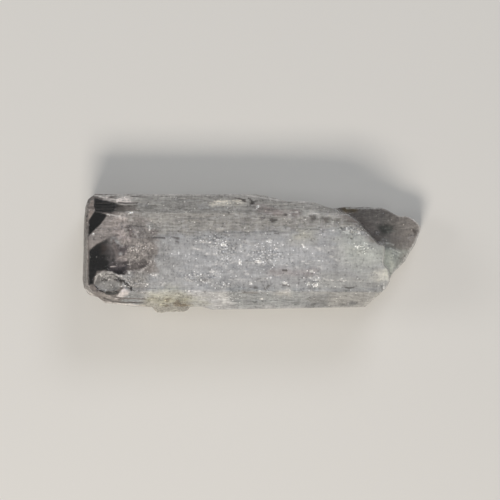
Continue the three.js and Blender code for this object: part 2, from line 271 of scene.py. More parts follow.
endShape = {
    "skew": 0.012,             # how much the whole end leans on the plan
    "skewMiddle": 1.5,         # the y about which it does
    "skewUpTo": (-29.4, -26),  # and over which stretch of x
    "corner": (-29.1, 9.4),    # the back corner
    "cornerReach": (0.3, 2.2),
    "cornerFill": 0.1,         # how far that corner is pushed out
    "cornerWay": (-0.7, 0.7),
}
crust = {
    # the stained crust at the front, which narrows and thins out downwards
    "left": (-20.2, -18.2),    # x where the stain fades in
    "right": (-11.6, -9.8),    # and out
    "narrowsFrom": 5.5,        # below this height it narrows
    "narrowsFor": 5.0,         # for this many millimetres
    "narrowsLeft": 0.35,       # this much a millimetre
    "narrowsRight": 0.25,
    "moreRagged": 0.35,        # and its edge is this much more ragged a millimetre
    "low": (0.8, 4.2),         # height where it fades in
    "lowRagged": 1.5,
    "top": (-8.6, -6.6),       # y where it ends on the front slope
    "topRagged": 0.8,
}
ripples = {
    # shell-shaped ripples: middle x and y, least and greatest radius, how far apart, which way and how wide
    "front": (1.6, -5.3, 0.5, 1.7, 0.5, 0, 75),
    "mottle": (-22.1, 2.0, 1.9, 3.9, 0.62, 5, 60),
    "mottleLow": (-21.7, 0.2, 0.9, 2.6, 0.6, -60, 50),
    "flake": (-25.1, -4.9, 0.7, 1.7, 0.5, 100, 100),
}
rippleEdge = {
    "wander": 0.15,            # how far a ring wanders
    "radiusSoft": 0.2,         # how softly the rings start and end
    "turnSoft": (20, 10),      # degrees inside and outside the sector where they fade
}


def remeshedCopy(name):
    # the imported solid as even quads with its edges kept
    mesh = crystalNode.data.copy()
    bm = bmesh.new()
    bm.from_mesh(mesh)
    bmesh.ops.remove_doubles(bm, verts=bm.verts, dist=skin["weldWithin"] * mm)
    bm.to_mesh(mesh)
    bm.free()
    piece = bpy.data.objects.new(name, mesh)
    bpy.context.collection.objects.link(piece)
    modifier = piece.modifiers.new("evenQuads", "REMESH")
    modifier.mode = "SHARP"
    modifier.octree_depth = skin["remeshDepth"]
    modifier.scale = skin["remeshScale"]
    modifier.use_remove_disconnected = True
    even = bpy.data.meshes.new_from_object(piece.evaluated_get(bpy.context.evaluated_depsgraph_get()))
    piece.modifiers.clear()
    piece.data = even
    even.name = name
    return piece


def onFrontSlope(place):
    # the face between the top and the front side
    (topY, topZ), (lowY, lowZ) = skin["slopeEdges"]
    belowTop, aboveLow = skin["slopeMargins"]
    across = Vector((0, lowY - topY, lowZ - topZ)).normalized()
    out = (place.y - topY) * across.z - (place.z - topZ) * across.y
    return abs(out) < skin["slopeDepth"] and lowZ + aboveLow < place.z < topZ - belowTop


def smoothOver(bm, verts, rounds):
    for _ in range(rounds):
        bmesh.ops.smooth_vert(
            bm, verts=verts, factor=skin["smoothing"], use_axis_x=True, use_axis_y=True, use_axis_z=True,
        )


def refineAndSettle(mesh):
    # halves the cells of the clear end, and wears every edge off by a hair
    bm = bmesh.new()
    bm.from_mesh(mesh)
    bm.normal_update()
    limit = skin["fineUpTo"] * mm
    fine = [f for f in bm.faces if f.normal.z > skin["fineFacing"] and f.calc_center_median().x < limit]
    edges = list({e for f in fine for e in f.edges})
    bmesh.ops.subdivide_edges(bm, edges=edges, cuts=1, use_grid_fill=True)
    # an edge where the remesh lets four faces meet is closed up, so the surface stays one sheet
    bmesh.ops.collapse(bm, edges=[e for e in bm.edges if len(e.link_faces) > 2])
    smoothOver(bm, [v for v in bm.verts if v.co.z > skin["baseKept"] * mm], 1)
    bm.normal_update()
    top = [v for v in bm.verts if v.normal.z > skin["topFacing"] and v.co.z > skin["topFrom"] * mm]
    window = [v for v in top if v.co.x < limit]
    slope = [v for v in bm.verts if onFrontSlope(v.co / mm) and v.co.x > limit]
    smoothOver(bm, top, skin["terraceRounds"])
    smoothOver(bm, window, skin["windowRounds"])
    smoothOver(bm, slope, skin["slopeRounds"])
    bm.to_mesh(mesh)
    bm.free()


def pointsAndNormals(mesh):
    points = np.empty(len(mesh.vertices) * 3, np.float32)
    mesh.vertices.foreach_get("co", points)
    normals = np.empty(len(mesh.vertices) * 3, np.float32)
    mesh.vertex_normals.foreach_get("vector", normals)
    return points.reshape(-1, 3).astype(float) / mm, normals.reshape(-1, 3).astype(float)


def etchPits(points, normals):
    # how deep the pits, which lie lengthways and crossways to the prism, are at each point
    rng = random.Random(pits["seed"])
    dents = np.zeros(len(points))
    upper = normals[:, 2] > pits["facing"]
    withinX, withinY = pits["within"]
    for middleX, middleY, spreadX, spreadY, count in pitGroups.values():
        for _ in range(count):
            x = rng.gauss(middleX, spreadX)
            y = rng.gauss(middleY, spreadY)
            radius = rng.uniform(*pits["radius"])
            longer = rng.uniform(*pits["longer"])
            offX, offY = np.abs(points[:, 0] - x), np.abs(points[:, 1] - y)
            near = upper & (offX < withinX * radius) & (offY < withinY * radius)
            if not near.any():
                continue
            reach = np.maximum(offX[near] / longer, offY[near]) / radius
            depth = pits["depth"] * radius / pits["radius"][1]
            dents[near] = np.maximum(dents[near], depth * np.clip(pits["rim"] - reach, 0, pits["floor"]))
    return dents


def rippleWave(points):
    # shell-shaped ripples round a blow, from -1 to 1, and 0 away from them
    wave = np.zeros(len(points))
    wander = rippleEdge["wander"] * noiseAt(points, "rippleEdge")
    soft = rippleEdge["radiusSoft"]
    inside, outside = rippleEdge["turnSoft"]
    for x, y, nearest, farthest, apart, middle, half in ripples.values():
        away = points[:, :2] - np.array((x, y))
        radius = np.hypot(*away.T) + wander
        turn = np.degrees(np.arctan2(away[:, 1], away[:, 0])) - middle
        turn = np.abs((turn + 180) % 360 - 180)
        share = smoothStep(nearest - soft, nearest + soft, radius)
        share *= 1 - smoothStep(farthest - soft, farthest + soft, radius)
        share *= 1 - smoothStep(half - inside, half + outside, turn)
        wave += share * np.sin(2 * math.pi * radius / apart)
    return wave


def levelTop(points):
    # how far each point of the top rises or sinks towards its level, away from the top's own edges
    x, y, z = points.T
    level = np.median(z[z > levelling["topAbove"]])
    starts, isFull = levelling["below"]
    greatest, atMiddle, slant = levelling["brokenEdge"]
    share = levelling["share"] * smoothStep(level - starts, level - isFull, z)
    share *= smoothStep(*levelling["from"], x)
    share *= 1 - smoothStep(*levelling["beforeBroken"], x - np.minimum(greatest, atMiddle - slant * y))
    share *= smoothStep(*levelling["front"], y) * (1 - smoothStep(*levelling["back"], y))
    return share * (level - z)


def squareEnd(points):
    # how far each point of the whole end moves on the plan, which fills its back corner and turns it square
    x, y = points[:, 0], points[:, 1]
    cornerX, cornerY = endShape["corner"]
    moved = np.zeros((len(points), 2))
    leaning = 1 - smoothStep(*endShape["skewUpTo"], x)
    moved[:, 0] -= endShape["skew"] * (y - endShape["skewMiddle"]) * leaning
    corner = 1 - smoothStep(*endShape["cornerReach"], np.hypot(x - cornerX, y - cornerY))
    return moved + endShape["cornerFill"] * corner[:, None] * np.array(endShape["cornerWay"])


def crustStain(points):
    # how stained each point is
    x, y, z = points.T
    ragged = noiseAt(points, "crustEdge")
    low = np.clip(crust["narrowsFrom"] - z, 0, crust["narrowsFor"])
    wander = (1 + crust["moreRagged"] * low) * ragged
    stain = smoothStep(*crust["left"], x + wander - crust["narrowsLeft"] * low)
    stain *= 1 - smoothStep(*crust["right"], x + wander + crust["narrowsRight"] * low)
    stain *= smoothStep(*crust["low"], z + crust["lowRagged"] * ragged)
    return stain * (1 - smoothStep(*crust["top"], y + crust["topRagged"] * ragged))


def growthPlates(points, normals):
    # terraces on the face of the whole end, each one step higher
    ends = smoothStep(*relief["plateFacing"], -normals[:, 0])
    ends *= 1 - smoothStep(*relief["platesUpTo"], points[:, 0])
    soft = relief["plateSoft"]
    wave = noiseAt(points, "plates")
    return ends * sum(smoothStep(step - soft, step + soft, wave) for step in relief["plateSteps"])


# the paint: how frosted and how milky the crystal is from place to place

body = {
    "frost": 0.76,             # how much of the surface scatters light and isn't clear
    "milk": "#c9c8c7",
    "upperFacing": (0.0, 0.25),  # how far up a face looks where the upper side's paint starts and is full
    "flankFrost": 0.95,        # the sides
    "flankMilk": "#dedcd8",
    "rippleTone": 0.19,        # how much the rings of the ripples show in the milk
    "cloudReach": (0.4, 1.5),  # where a milk cloud starts to fade and is gone, as a share of its half size
    "cloudRagged": 0.3,
}
veils = {
    # round the whole end the sides are clear, with soft veils and thin healed cracks in them
    "frost": (0.25, 0.72),     # in the clear and in the veils
    "milk": "#cbc5bf",
    "upTo": (-25, -19),        # x where they fade out
    "ragged": 2.5,
    "softShare": 0.7,          # how strong the soft veils are beside the cracks
    "soft": (-0.9, 0.9),       # where in their noise they start and are full
    "crackWidth": 0.14,        # how far from 0 in their noise the cracks still show
}
wearAndHighlight = {
    # white wear of the edges, partly a painted highlight along them
    "frost": 0.85,
    "milk": "#dcd8d2",
    "from": (0.09, 0.26),      # how sharp an edge has to be to show it
    "aboveBase": (0.02, 0.3),
    "notClear": (0.15, 0.45),  # and how frosted the place is, because clear and dark ones show none
    "atBroken": (11, 13),      # x from which the high edges of the broken end show less
    "high": (8, 10),
    "lessHigh": 0.75,
    "patches": (0.5, 0.9),     # how much there is of it, and how unevenly
    "limits": (0.1, 0.9),
}
wallPaintedLight = {
    # the broken wall above the tongue, painted paler as painted light over the shade it lies in from the
    # front lamp
    "frost": 0.86,
    "milk": "#cbc8c1",
    "above": (7.7, 8.1),
    "facing": (0.8, 0.93),     # faces that look further up aren't the wall
    "from": (12.5, 14),
    "turned": (-0.2, 0.2),     # how far it looks along the prism
    "clearer": 0.45,           # by how much it is clearer at the back
    "clearerFrom": (0.5, 3),
}
brush = {
    # how the marks, lines and glints are laid on
    "frontY": (-8.4, -9.4),    # past this stretch of y the marks run out
    "frontZ": (8.2, 9.8),      # below this height
    "lineSoft": 0.08,
    "lineRagged": 0.05,
    "lineLeast": 0.4,          # the least width of a line, as a share
    "lineBreaks": (0.8, 0.9),  # what is added to that, and how unevenly
    "lineLimits": (0.15, 1),
    # the painted glints: how far their edge reaches, and the frost and white milk of the painted highlight
    "glintEdge": 0.6,
    "glintFrost": 0.95,
    "glintMilk": "#f6f3ee",
    "glintFlash": (0.8, 1.8),  # where the flashes round a glint start to fade and are gone
}
marks = {
    # marks on the upper side: outline, frost, colour, softness and raggedness of the edge
    "upperBand": ([(-30.9, 3.4), (-8.9, 3.3), (1.1, 3.8), (15.1, 4.4), (19.1, 4.4), (14.1, 12),
        (-30.9, 12)], 0.73, "#c2beb7", 0.9, 0.9),
    "upperRight": ([(5.6, 8.3), (9.9, 7.8), (15.6, 6.6), (15.3, 6.0), (9.7, 6.5), (5.9, 7.2)],
        0.8, "#cdcac3", 0.5, 0.6),
    # painted shade: the front slope faces the front lamp, so its milk is painted darker
    "lowerBand": ([(-30.9, -6.2), (-8.9, -6.1), (6.1, -6.2), (10.1, -6.7), (24.1, -6.8), (24.1, -12),
        (-30.9, -12)], 0.74, "#b8bab9", 0.7, 0.7),
    "lowerLeft": ([(-19.9, -5.6), (-4.8, -6.0), (-3.6, -8.3), (-5.0, -12), (-19.9, -12)],
        0.8, "#d0cfce", 0.7, 1.0),
    "lowerStripe": ([(-5.8, -6.9), (-4.3, -6.9), (-4.1, -8.2), (-4.6, -9.3), (-5.8, -9.3)],
        0.88, "#dcdbd8", 0.5, 0.6),
    # painted shade: the front slope at the broken end is painted darker against the front lamp and the
    # light coming in through the end
    "lowerRight": ([(8.9, -6.9), (25.1, -6.9), (25.1, -12), (10.9, -12)], 0.86, "#90908e", 1.5, 1.3),
    "lowerRightTop": ([(12.1, -3.6), (23.1, -4.4), (24.1, -6.8), (10.1, -6.8), (10.1, -5.2)],
        0.8, "#c6c5c1", 0.9, 0.7),
    "blueHaze": ([(-13.9, 1.5), (1.1, 1.8), (12.1, 2.4), (14.1, -1.5), (4.1, -4.5), (-12.9, -4.5)],
        0.8, "#cdcdce", 2.2, 1.2),
    "greenHaze": ([(15.1, 4.1), (21.1, 2.4), (23.0, 0.6), (22.7, -1.5), (20.3, -2.9), (15.9, -1.5)],
        0.83, "#d2d4cd", 2.4, 0.8),
    "crustHaze": ([(-18.9, -8.4), (-17.9, -6.6), (-13.2, -5.8), (-10.5, -7.5), (-7.9, -8.4),
        (-7.9, -9.2), (-11.4, -9)], 0.82, "#c9c8be", 0.8, 0.7),
    "crustPale": ([(-17.1, -7.3), (-15.3, -6.9), (-13.8, -7.6), (-14.2, -8.9), (-16.0, -9.2),
        (-17.1, -8.5)], 0.86, "#cfcec2", 0.9, 0.9),
    "crustShade": ([(-14.9, -8.9), (-13.0, -8.8), (-11.9, -9.0), (-11.7, -9.6), (-12.9, -9.8),
        (-14.9, -9.5)], 0.8, "#9c9284", 0.25, 1.6),
    "yellowHaze": ([(6.5, 2.1), (10.5, 2.3), (10.7, 4.2), (8.1, 4.2)], 0.78, "#cdcabe", 1.3, 0.4),
    "pinkHaze": ([(0.2, 8.5), (8.1, 7.2), (7.8, 6.5), (0.8, 7.2)], 0.7, "#b8aca6", 0.7, 0.6),
    "pinkStripe": ([(2.5, -3.9), (11.2, -3.9), (10.9, -2.8), (2.8, -2.6)], 0.77, "#c4bebd", 0.8, 0.5),
    "paleSpot": ([(3.7, -6.3), (6.5, -6.0), (6.4, -7.4), (3.7, -7.3)], 0.86, "#cfccc6", 0.6, 0.6),
    "mottledMass": ([(-23.5, 7.2), (-18.4, 5.6), (-16.7, 3.0), (-17.1, -3.0), (-21.4, -3.8),
        (-24.4, -3.0), (-23.5, 0.0), (-24.1, 2.6)], 0.62, "#bab2ac", 0.8, 1.2),
    "wholeEnd": ([(-30.9, 11), (-24.3, 11), (-24.1, 7.2), (-24.9, 3.0), (-24.1, -0.5), (-24.5, -3.2),
        (-22.5, -6.2), (-24.3, -11), (-30.9, -11)], 0.44, "#b3a9a2", 0.5, 0.5),
    "cornerTriangle": ([(-29.2, 8.2), (-28.3, 9.7), (-27.9, 9.0), (-27.8, 7.6), (-28.7, 5.9),
        (-29.2, 5.9)], 0.64, "#c3b4aa", 0.12, 0.05),
    "fractureBand": ([(-28.7, 0.7), (-28.8, 3.0), (-28.1, 3.7), (-26.9, 4.9), (-26.2, 6.0), (-25.3, 6.8),
        (-23.8, 6.9), (-22.2, 6.2), (-22.0, 4.4), (-23.7, 3.0), (-25.1, 2.8), (-25.6, 2.5),
        (-27.2, 1.8)], 0.66, "#bdb4ae", 0.12, 0.0),
    "palePink": ([(-24.8, 6.7), (-22.3, 6.9), (-21.8, 5.5), (-22.8, 3.7), (-24.4, 3.7), (-25.1, 5.1)],
        0.74, "#c4b9b2", 0.5, 0.5),
    "paleSwirlTop": ([(-23.9, 3.8), (-22.9, 4.3), (-22.2, 3.6), (-21.9, 2.5), (-22.8, 2.0),
        (-23.8, 2.5)], 0.74, "#cdc1bc", 0.5, 0.7),
    "frontCornerStrip": ([(-26.6, -7.0), (-24.9, -7.2), (-23.9, -7.4), (-23.9, -8.2), (-25.2, -8.2),
        (-26.6, -7.7)], 0.6, "#c0b7b0", 0.3, 0.3),
    "backSlopeShade": ([(-24.9, 8.8), (-23.1, 8.5), (-20.9, 8.1), (-20.3, 7.5), (-22.7, 7.2),
        (-25.1, 7.2)], 0.5, "#a1978f", 0.6, 0.3),
    "backSlopeWindow": ([(-27.9, 9.7), (-26.8, 9.4), (-25.7, 9.2), (-24.5, 8.9), (-23.7, 8.5),
        (-24.2, 8.0), (-24.2, 7.5), (-24.8, 7.2), (-25.7, 7.1), (-26.5, 7.1), (-27.7, 7.4), (-27.9, 7.9),
        (-28.0, 8.7)], 0.02, "#77757c", 0.12, 0.1),
    "backSlopeSmear": ([(-24.3, 8.3), (-23.0, 8.2), (-22.6, 7.8), (-23.6, 7.6), (-24.4, 7.6)],
        0.25, "#857d79", 0.35, 0.2),
    "backWindow": ([(-27.8, 7.3), (-25.7, 6.8), (-26.2, 5.8), (-26.9, 5.0), (-27.7, 4.2), (-28.4, 3.5),
        (-28.8, 3.0), (-28.8, 5.8)], 0.02, "#8a8884", 0.1, 0.04),
    "frontWindow": ([(-28.7, 0.5), (-27.3, 1.6), (-25.6, 2.4), (-24.7, 1.5), (-24.1, -0.1),
        (-24.1, -1.5), (-24.5, -3.2), (-26.1, -3.0), (-27.3, -3.2), (-27.9, -4.3), (-27.9, -5.3),
        (-28.7, -5.5)], 0.04, "#8f8d8b", 0.15, 0.1),
    "darkSwirl": ([(-26.3, 2.2), (-24.3, 2.4), (-23.5, 0.2), (-24.1, -1.4), (-25.1, -1.2), (-26.1, 0.2)],
        0.27, "#a29a99", 0.9, 1.0),
    "greyVeil": ([(-25.3, 2.0), (-24.1, 2.2), (-23.5, 1.3), (-24.3, 0.8), (-25.2, 1.2)],
        0.5, "#aca7a4", 0.6, 0.6),
    "brownVeil": ([(-27.1, 1.3), (-26.3, 1.9), (-25.7, 1.2), (-25.9, 0.2), (-26.5, -0.2)],
        0.12, "#a8978f", 0.5, 0.6),
    "paleSwirl": ([(-24.7, 1.6), (-23.8, 1.8), (-23.1, -0.6), (-23.8, -1.5), (-24.3, -0.1)],
        0.5, "#aea4a1", 0.45, 0.4),
    "paleCross": ([(-24.1, -1.3), (-23.2, -0.9), (-22.6, -0.3), (-22.0, 0.5), (-21.9, 0.1),
        (-22.5, -0.9), (-22.0, -1.6), (-22.9, -1.3)], 0.62, "#c0b5b1", 0.3, 0.2),
    "purpleHollow": ([(-23.9, 1.5), (-22.8, 1.2), (-21.5, 1.6), (-22.0, 0.5), (-22.7, -0.4),
        (-23.3, 0.3)], 0.36, "#9f9496", 0.4, 0.3),
    "hollowGround": ([(-25.1, -1.4), (-23.3, -1.6), (-21.3, -1.7), (-20.9, -2.8), (-21.9, -3.3),
        (-25.3, -3.1)], 0.36, "#8e8588", 0.5, 0.5),
    "upperHollow": ([(-24.5, -1.8), (-23.1, -1.5), (-22.1, -1.5), (-22.3, -1.8), (-23.3, -1.9),
        (-24.3, -2.1)], 0.14, "#8f8484", 0.2, 0.25),
    "lowerHollow": ([(-25.7, -2.5), (-24.1, -2.6), (-22.4, -2.5), (-22.2, -3.0), (-22.9, -3.4),
        (-24.0, -3.2), (-25.7, -2.9)], 0.16, "#857c80", 0.35, 0.35),
    "lowerWedge": ([(-24.8, -2.95), (-23.1, -3.15), (-22.3, -3.45), (-22.5, -3.75), (-23.7, -3.7)],
        0.08, "#7b7274", 0.14, 0.15),
    "darkArcZone": ([(-21.9, -1.5), (-19.8, -1.5), (-18.1, -1.5), (-18.6, -2.6), (-20.7, -2.9),
        (-21.9, -2.9)], 0.42, "#a49b97", 0.4, 0.5),
    "frontGrey": ([(-22.1, -3.7), (-18.8, -3.5), (-18.3, -5.6), (-19.5, -6.8), (-21.9, -6.4)],
        0.74, "#c0bcb7", 0.8, 0.6),
    "redSpots": ([(-22.5, 4.7), (-21.7, 4.8), (-21.3, 3.9), (-21.6, 3.4), (-22.3, 3.8)],
        0.3, "#8b7977", 0.3, 0.6),
    "chippedFlake": ([(-27.8, -4.8), (-27.2, -3.4), (-26.1, -3.1), (-24.7, -3.2), (-23.3, -4.0),
        (-22.6, -4.8), (-23.1, -6.0), (-24.5, -6.7), (-26.3, -6.6), (-27.5, -5.9)],
        0.56, "#afaba6", 0.12, 0.05),
    "flakeInner": ([(-27.2, -5.6), (-26.4, -4.9), (-24.9, -4.8), (-23.5, -5.2), (-23.0, -5.9),
        (-24.1, -6.5), (-25.7, -6.5), (-26.9, -6.1)], 0.64, "#b6b3ae", 0.12, 0.05),
    "flakeHollow": ([(-24.5, -4.4), (-23.5, -4.4), (-22.8, -4.9), (-23.1, -5.1), (-23.9, -4.9)],
        0.2, "#7d7875", 0.15, 0.25),
    "flakeLine": ([(-26.5, -4.6), (-25.5, -4.6), (-25.5, -4.8), (-26.5, -4.8)],
        0.4, "#8b8783", 0.12, 0.1),
    "paleTriangle": ([(-24.3, -8.0), (-23.5, -6.9), (-22.6, -6.1), (-21.9, -6.4), (-21.4, -6.7),
        (-22.3, -7.5)], 0.97, "#efe7e3", 0.15, 0.15),
    "brightPatch": ([(-26.3, 9.6), (-25.1, 9.6), (-23.0, 10.1), (-21.7, 9.7), (-21.6, 8.9), (-22.8, 8.6),
        (-23.9, 9.0)], 0.92, "#e6ded7", 0.5, 0.5),
    "yellowStreak": ([(-7.4, 8.9), (-6.3, 9.3), (-1.7, 9.3), (-1.7, 8.8), (-5.2, 8.3), (-7.3, 8.3)],
        0.93, "#dfd8ca", 0.6, 0.5),
    "columnGround": ([(9.9, 6.4), (11.6, 6.3), (13.4, 6.4), (17.2, 5.8), (17.0, 4.9), (13.6, 4.9),
        (10.3, 5.0)], 0.7, "#b9b6b0", 0.5, 0.5),
    "darkColumn1": ([(10.0, 6.4), (10.8, 6.4), (10.7, 5.9), (10.3, 5.8)], 0.5, "#a09b95", 0.22, 0.3),
    "darkColumn2": ([(12.0, 6.4), (13.3, 6.4), (13.0, 5.3), (12.4, 5.4)], 0.54, "#a5a099", 0.22, 0.25),
    "darkColumn3": ([(14.4, 6.2), (15.2, 6.3), (15.0, 5.2), (14.6, 5.2)], 0.56, "#a6a29b", 0.25, 0.3),
    "darkColumn4": ([(15.8, 6.0), (17.0, 5.6), (16.8, 5.0), (15.9, 5.2)], 0.58, "#a5a29b", 0.35, 0.4),
    "darkSpotA": ([(1.0, 6.5), (2.1, 6.5), (1.9, 6.1), (1.2, 6.0)], 0.52, "#9b9590", 0.2, 0.5),
    "darkSpotB": ([(2.4, 6.5), (3.3, 6.4), (3.9, 6.0), (3.2, 5.7), (2.7, 6.0)],
        0.48, "#938d88", 0.2, 0.5),
    "darkSpotC": ([(5.2, 7.1), (6.1, 7.0), (5.9, 6.7), (5.3, 6.7)], 0.55, "#a19a95", 0.3, 0.5),
    "darkSpotD": ([(7.1, 6.5), (8.1, 6.4), (7.9, 6.0), (7.3, 6.0)], 0.55, "#a19a95", 0.3, 0.5),
    "backSpotA": ([(-2.0, 9.6), (-1.5, 9.5), (-1.4, 9.1), (-2.1, 9.2)], 0.25, "#756e69", 0.12, 0.2),
    "backSpotB": ([(-0.5, 9.3), (0.1, 9.1), (0.2, 8.7), (-0.4, 8.7)], 0.25, "#756e69", 0.12, 0.2),
    "tongue": ([(13.9, 7.9), (16.0, 7.1), (17.7, 6.0), (19.6, 4.7), (21.3, 2.7), (22.2, 1.6),
        (24.1, 0.9), (24.1, -2.6), (31.1, -2), (31.1, 11), (12.1, 11), (12.1, 8.8)],
        0.5, "#b6aea6", 0.25, 0.15),
    "tongueShade": ([(15.7, 7.3), (18.5, 6.6), (21.1, 4.6), (22.3, 2.0), (20.7, 2.0), (18.5, 5.0),
        (15.7, 6.6)], 0.48, "#a39891", 1.0, 0.5),
    "tongueLight": ([(24.7, 7.4), (29.7, 5.2), (29.5, 3.0), (27.5, 0.4), (26.5, 1.6), (26.9, 4.0)],
        0.62, "#b7b0a9", 1.4, 0.6),
    "tongueSpot": ([(22.3, 4.7), (23.5, 5.0), (24.8, 4.7), (24.6, 4.0), (23.3, 3.6), (22.4, 4.0)],
        0.26, "#8f9086", 0.5, 0.8),
    "tongueRust": ([(15.6, 8.2), (15.9, 7.3), (18.3, 7.2), (18.7, 8.2)], 0.35, "#b3a07f", 0.4, 0.3),
    "lowTongue": ([(22.7, 1.2), (26.0, 0.9), (27.7, 0.3), (25.7, -2.8), (24.2, -4.6), (22.7, -1.5)],
        0.7, "#c3c6be", 1.1, 0.8),
    # painted light over the shade that the broken wall throws on the low tongue
    "lowTongueShadeLifted": ([(22.9, 0.6), (24.4, 0.4), (24.9, -2.0), (24.7, -4.6), (22.9, -4.6)],
        0.96, "#eeefe0", 0.5, 0.3),
    "stainSpot": ([(21.3, -3.2), (22.7, -2.7), (24.0, -3.3), (23.5, -4.7), (22.0, -4.8), (21.0, -4.1)],
        0.93, "#eeeadd", 1.0, 0.7),
}
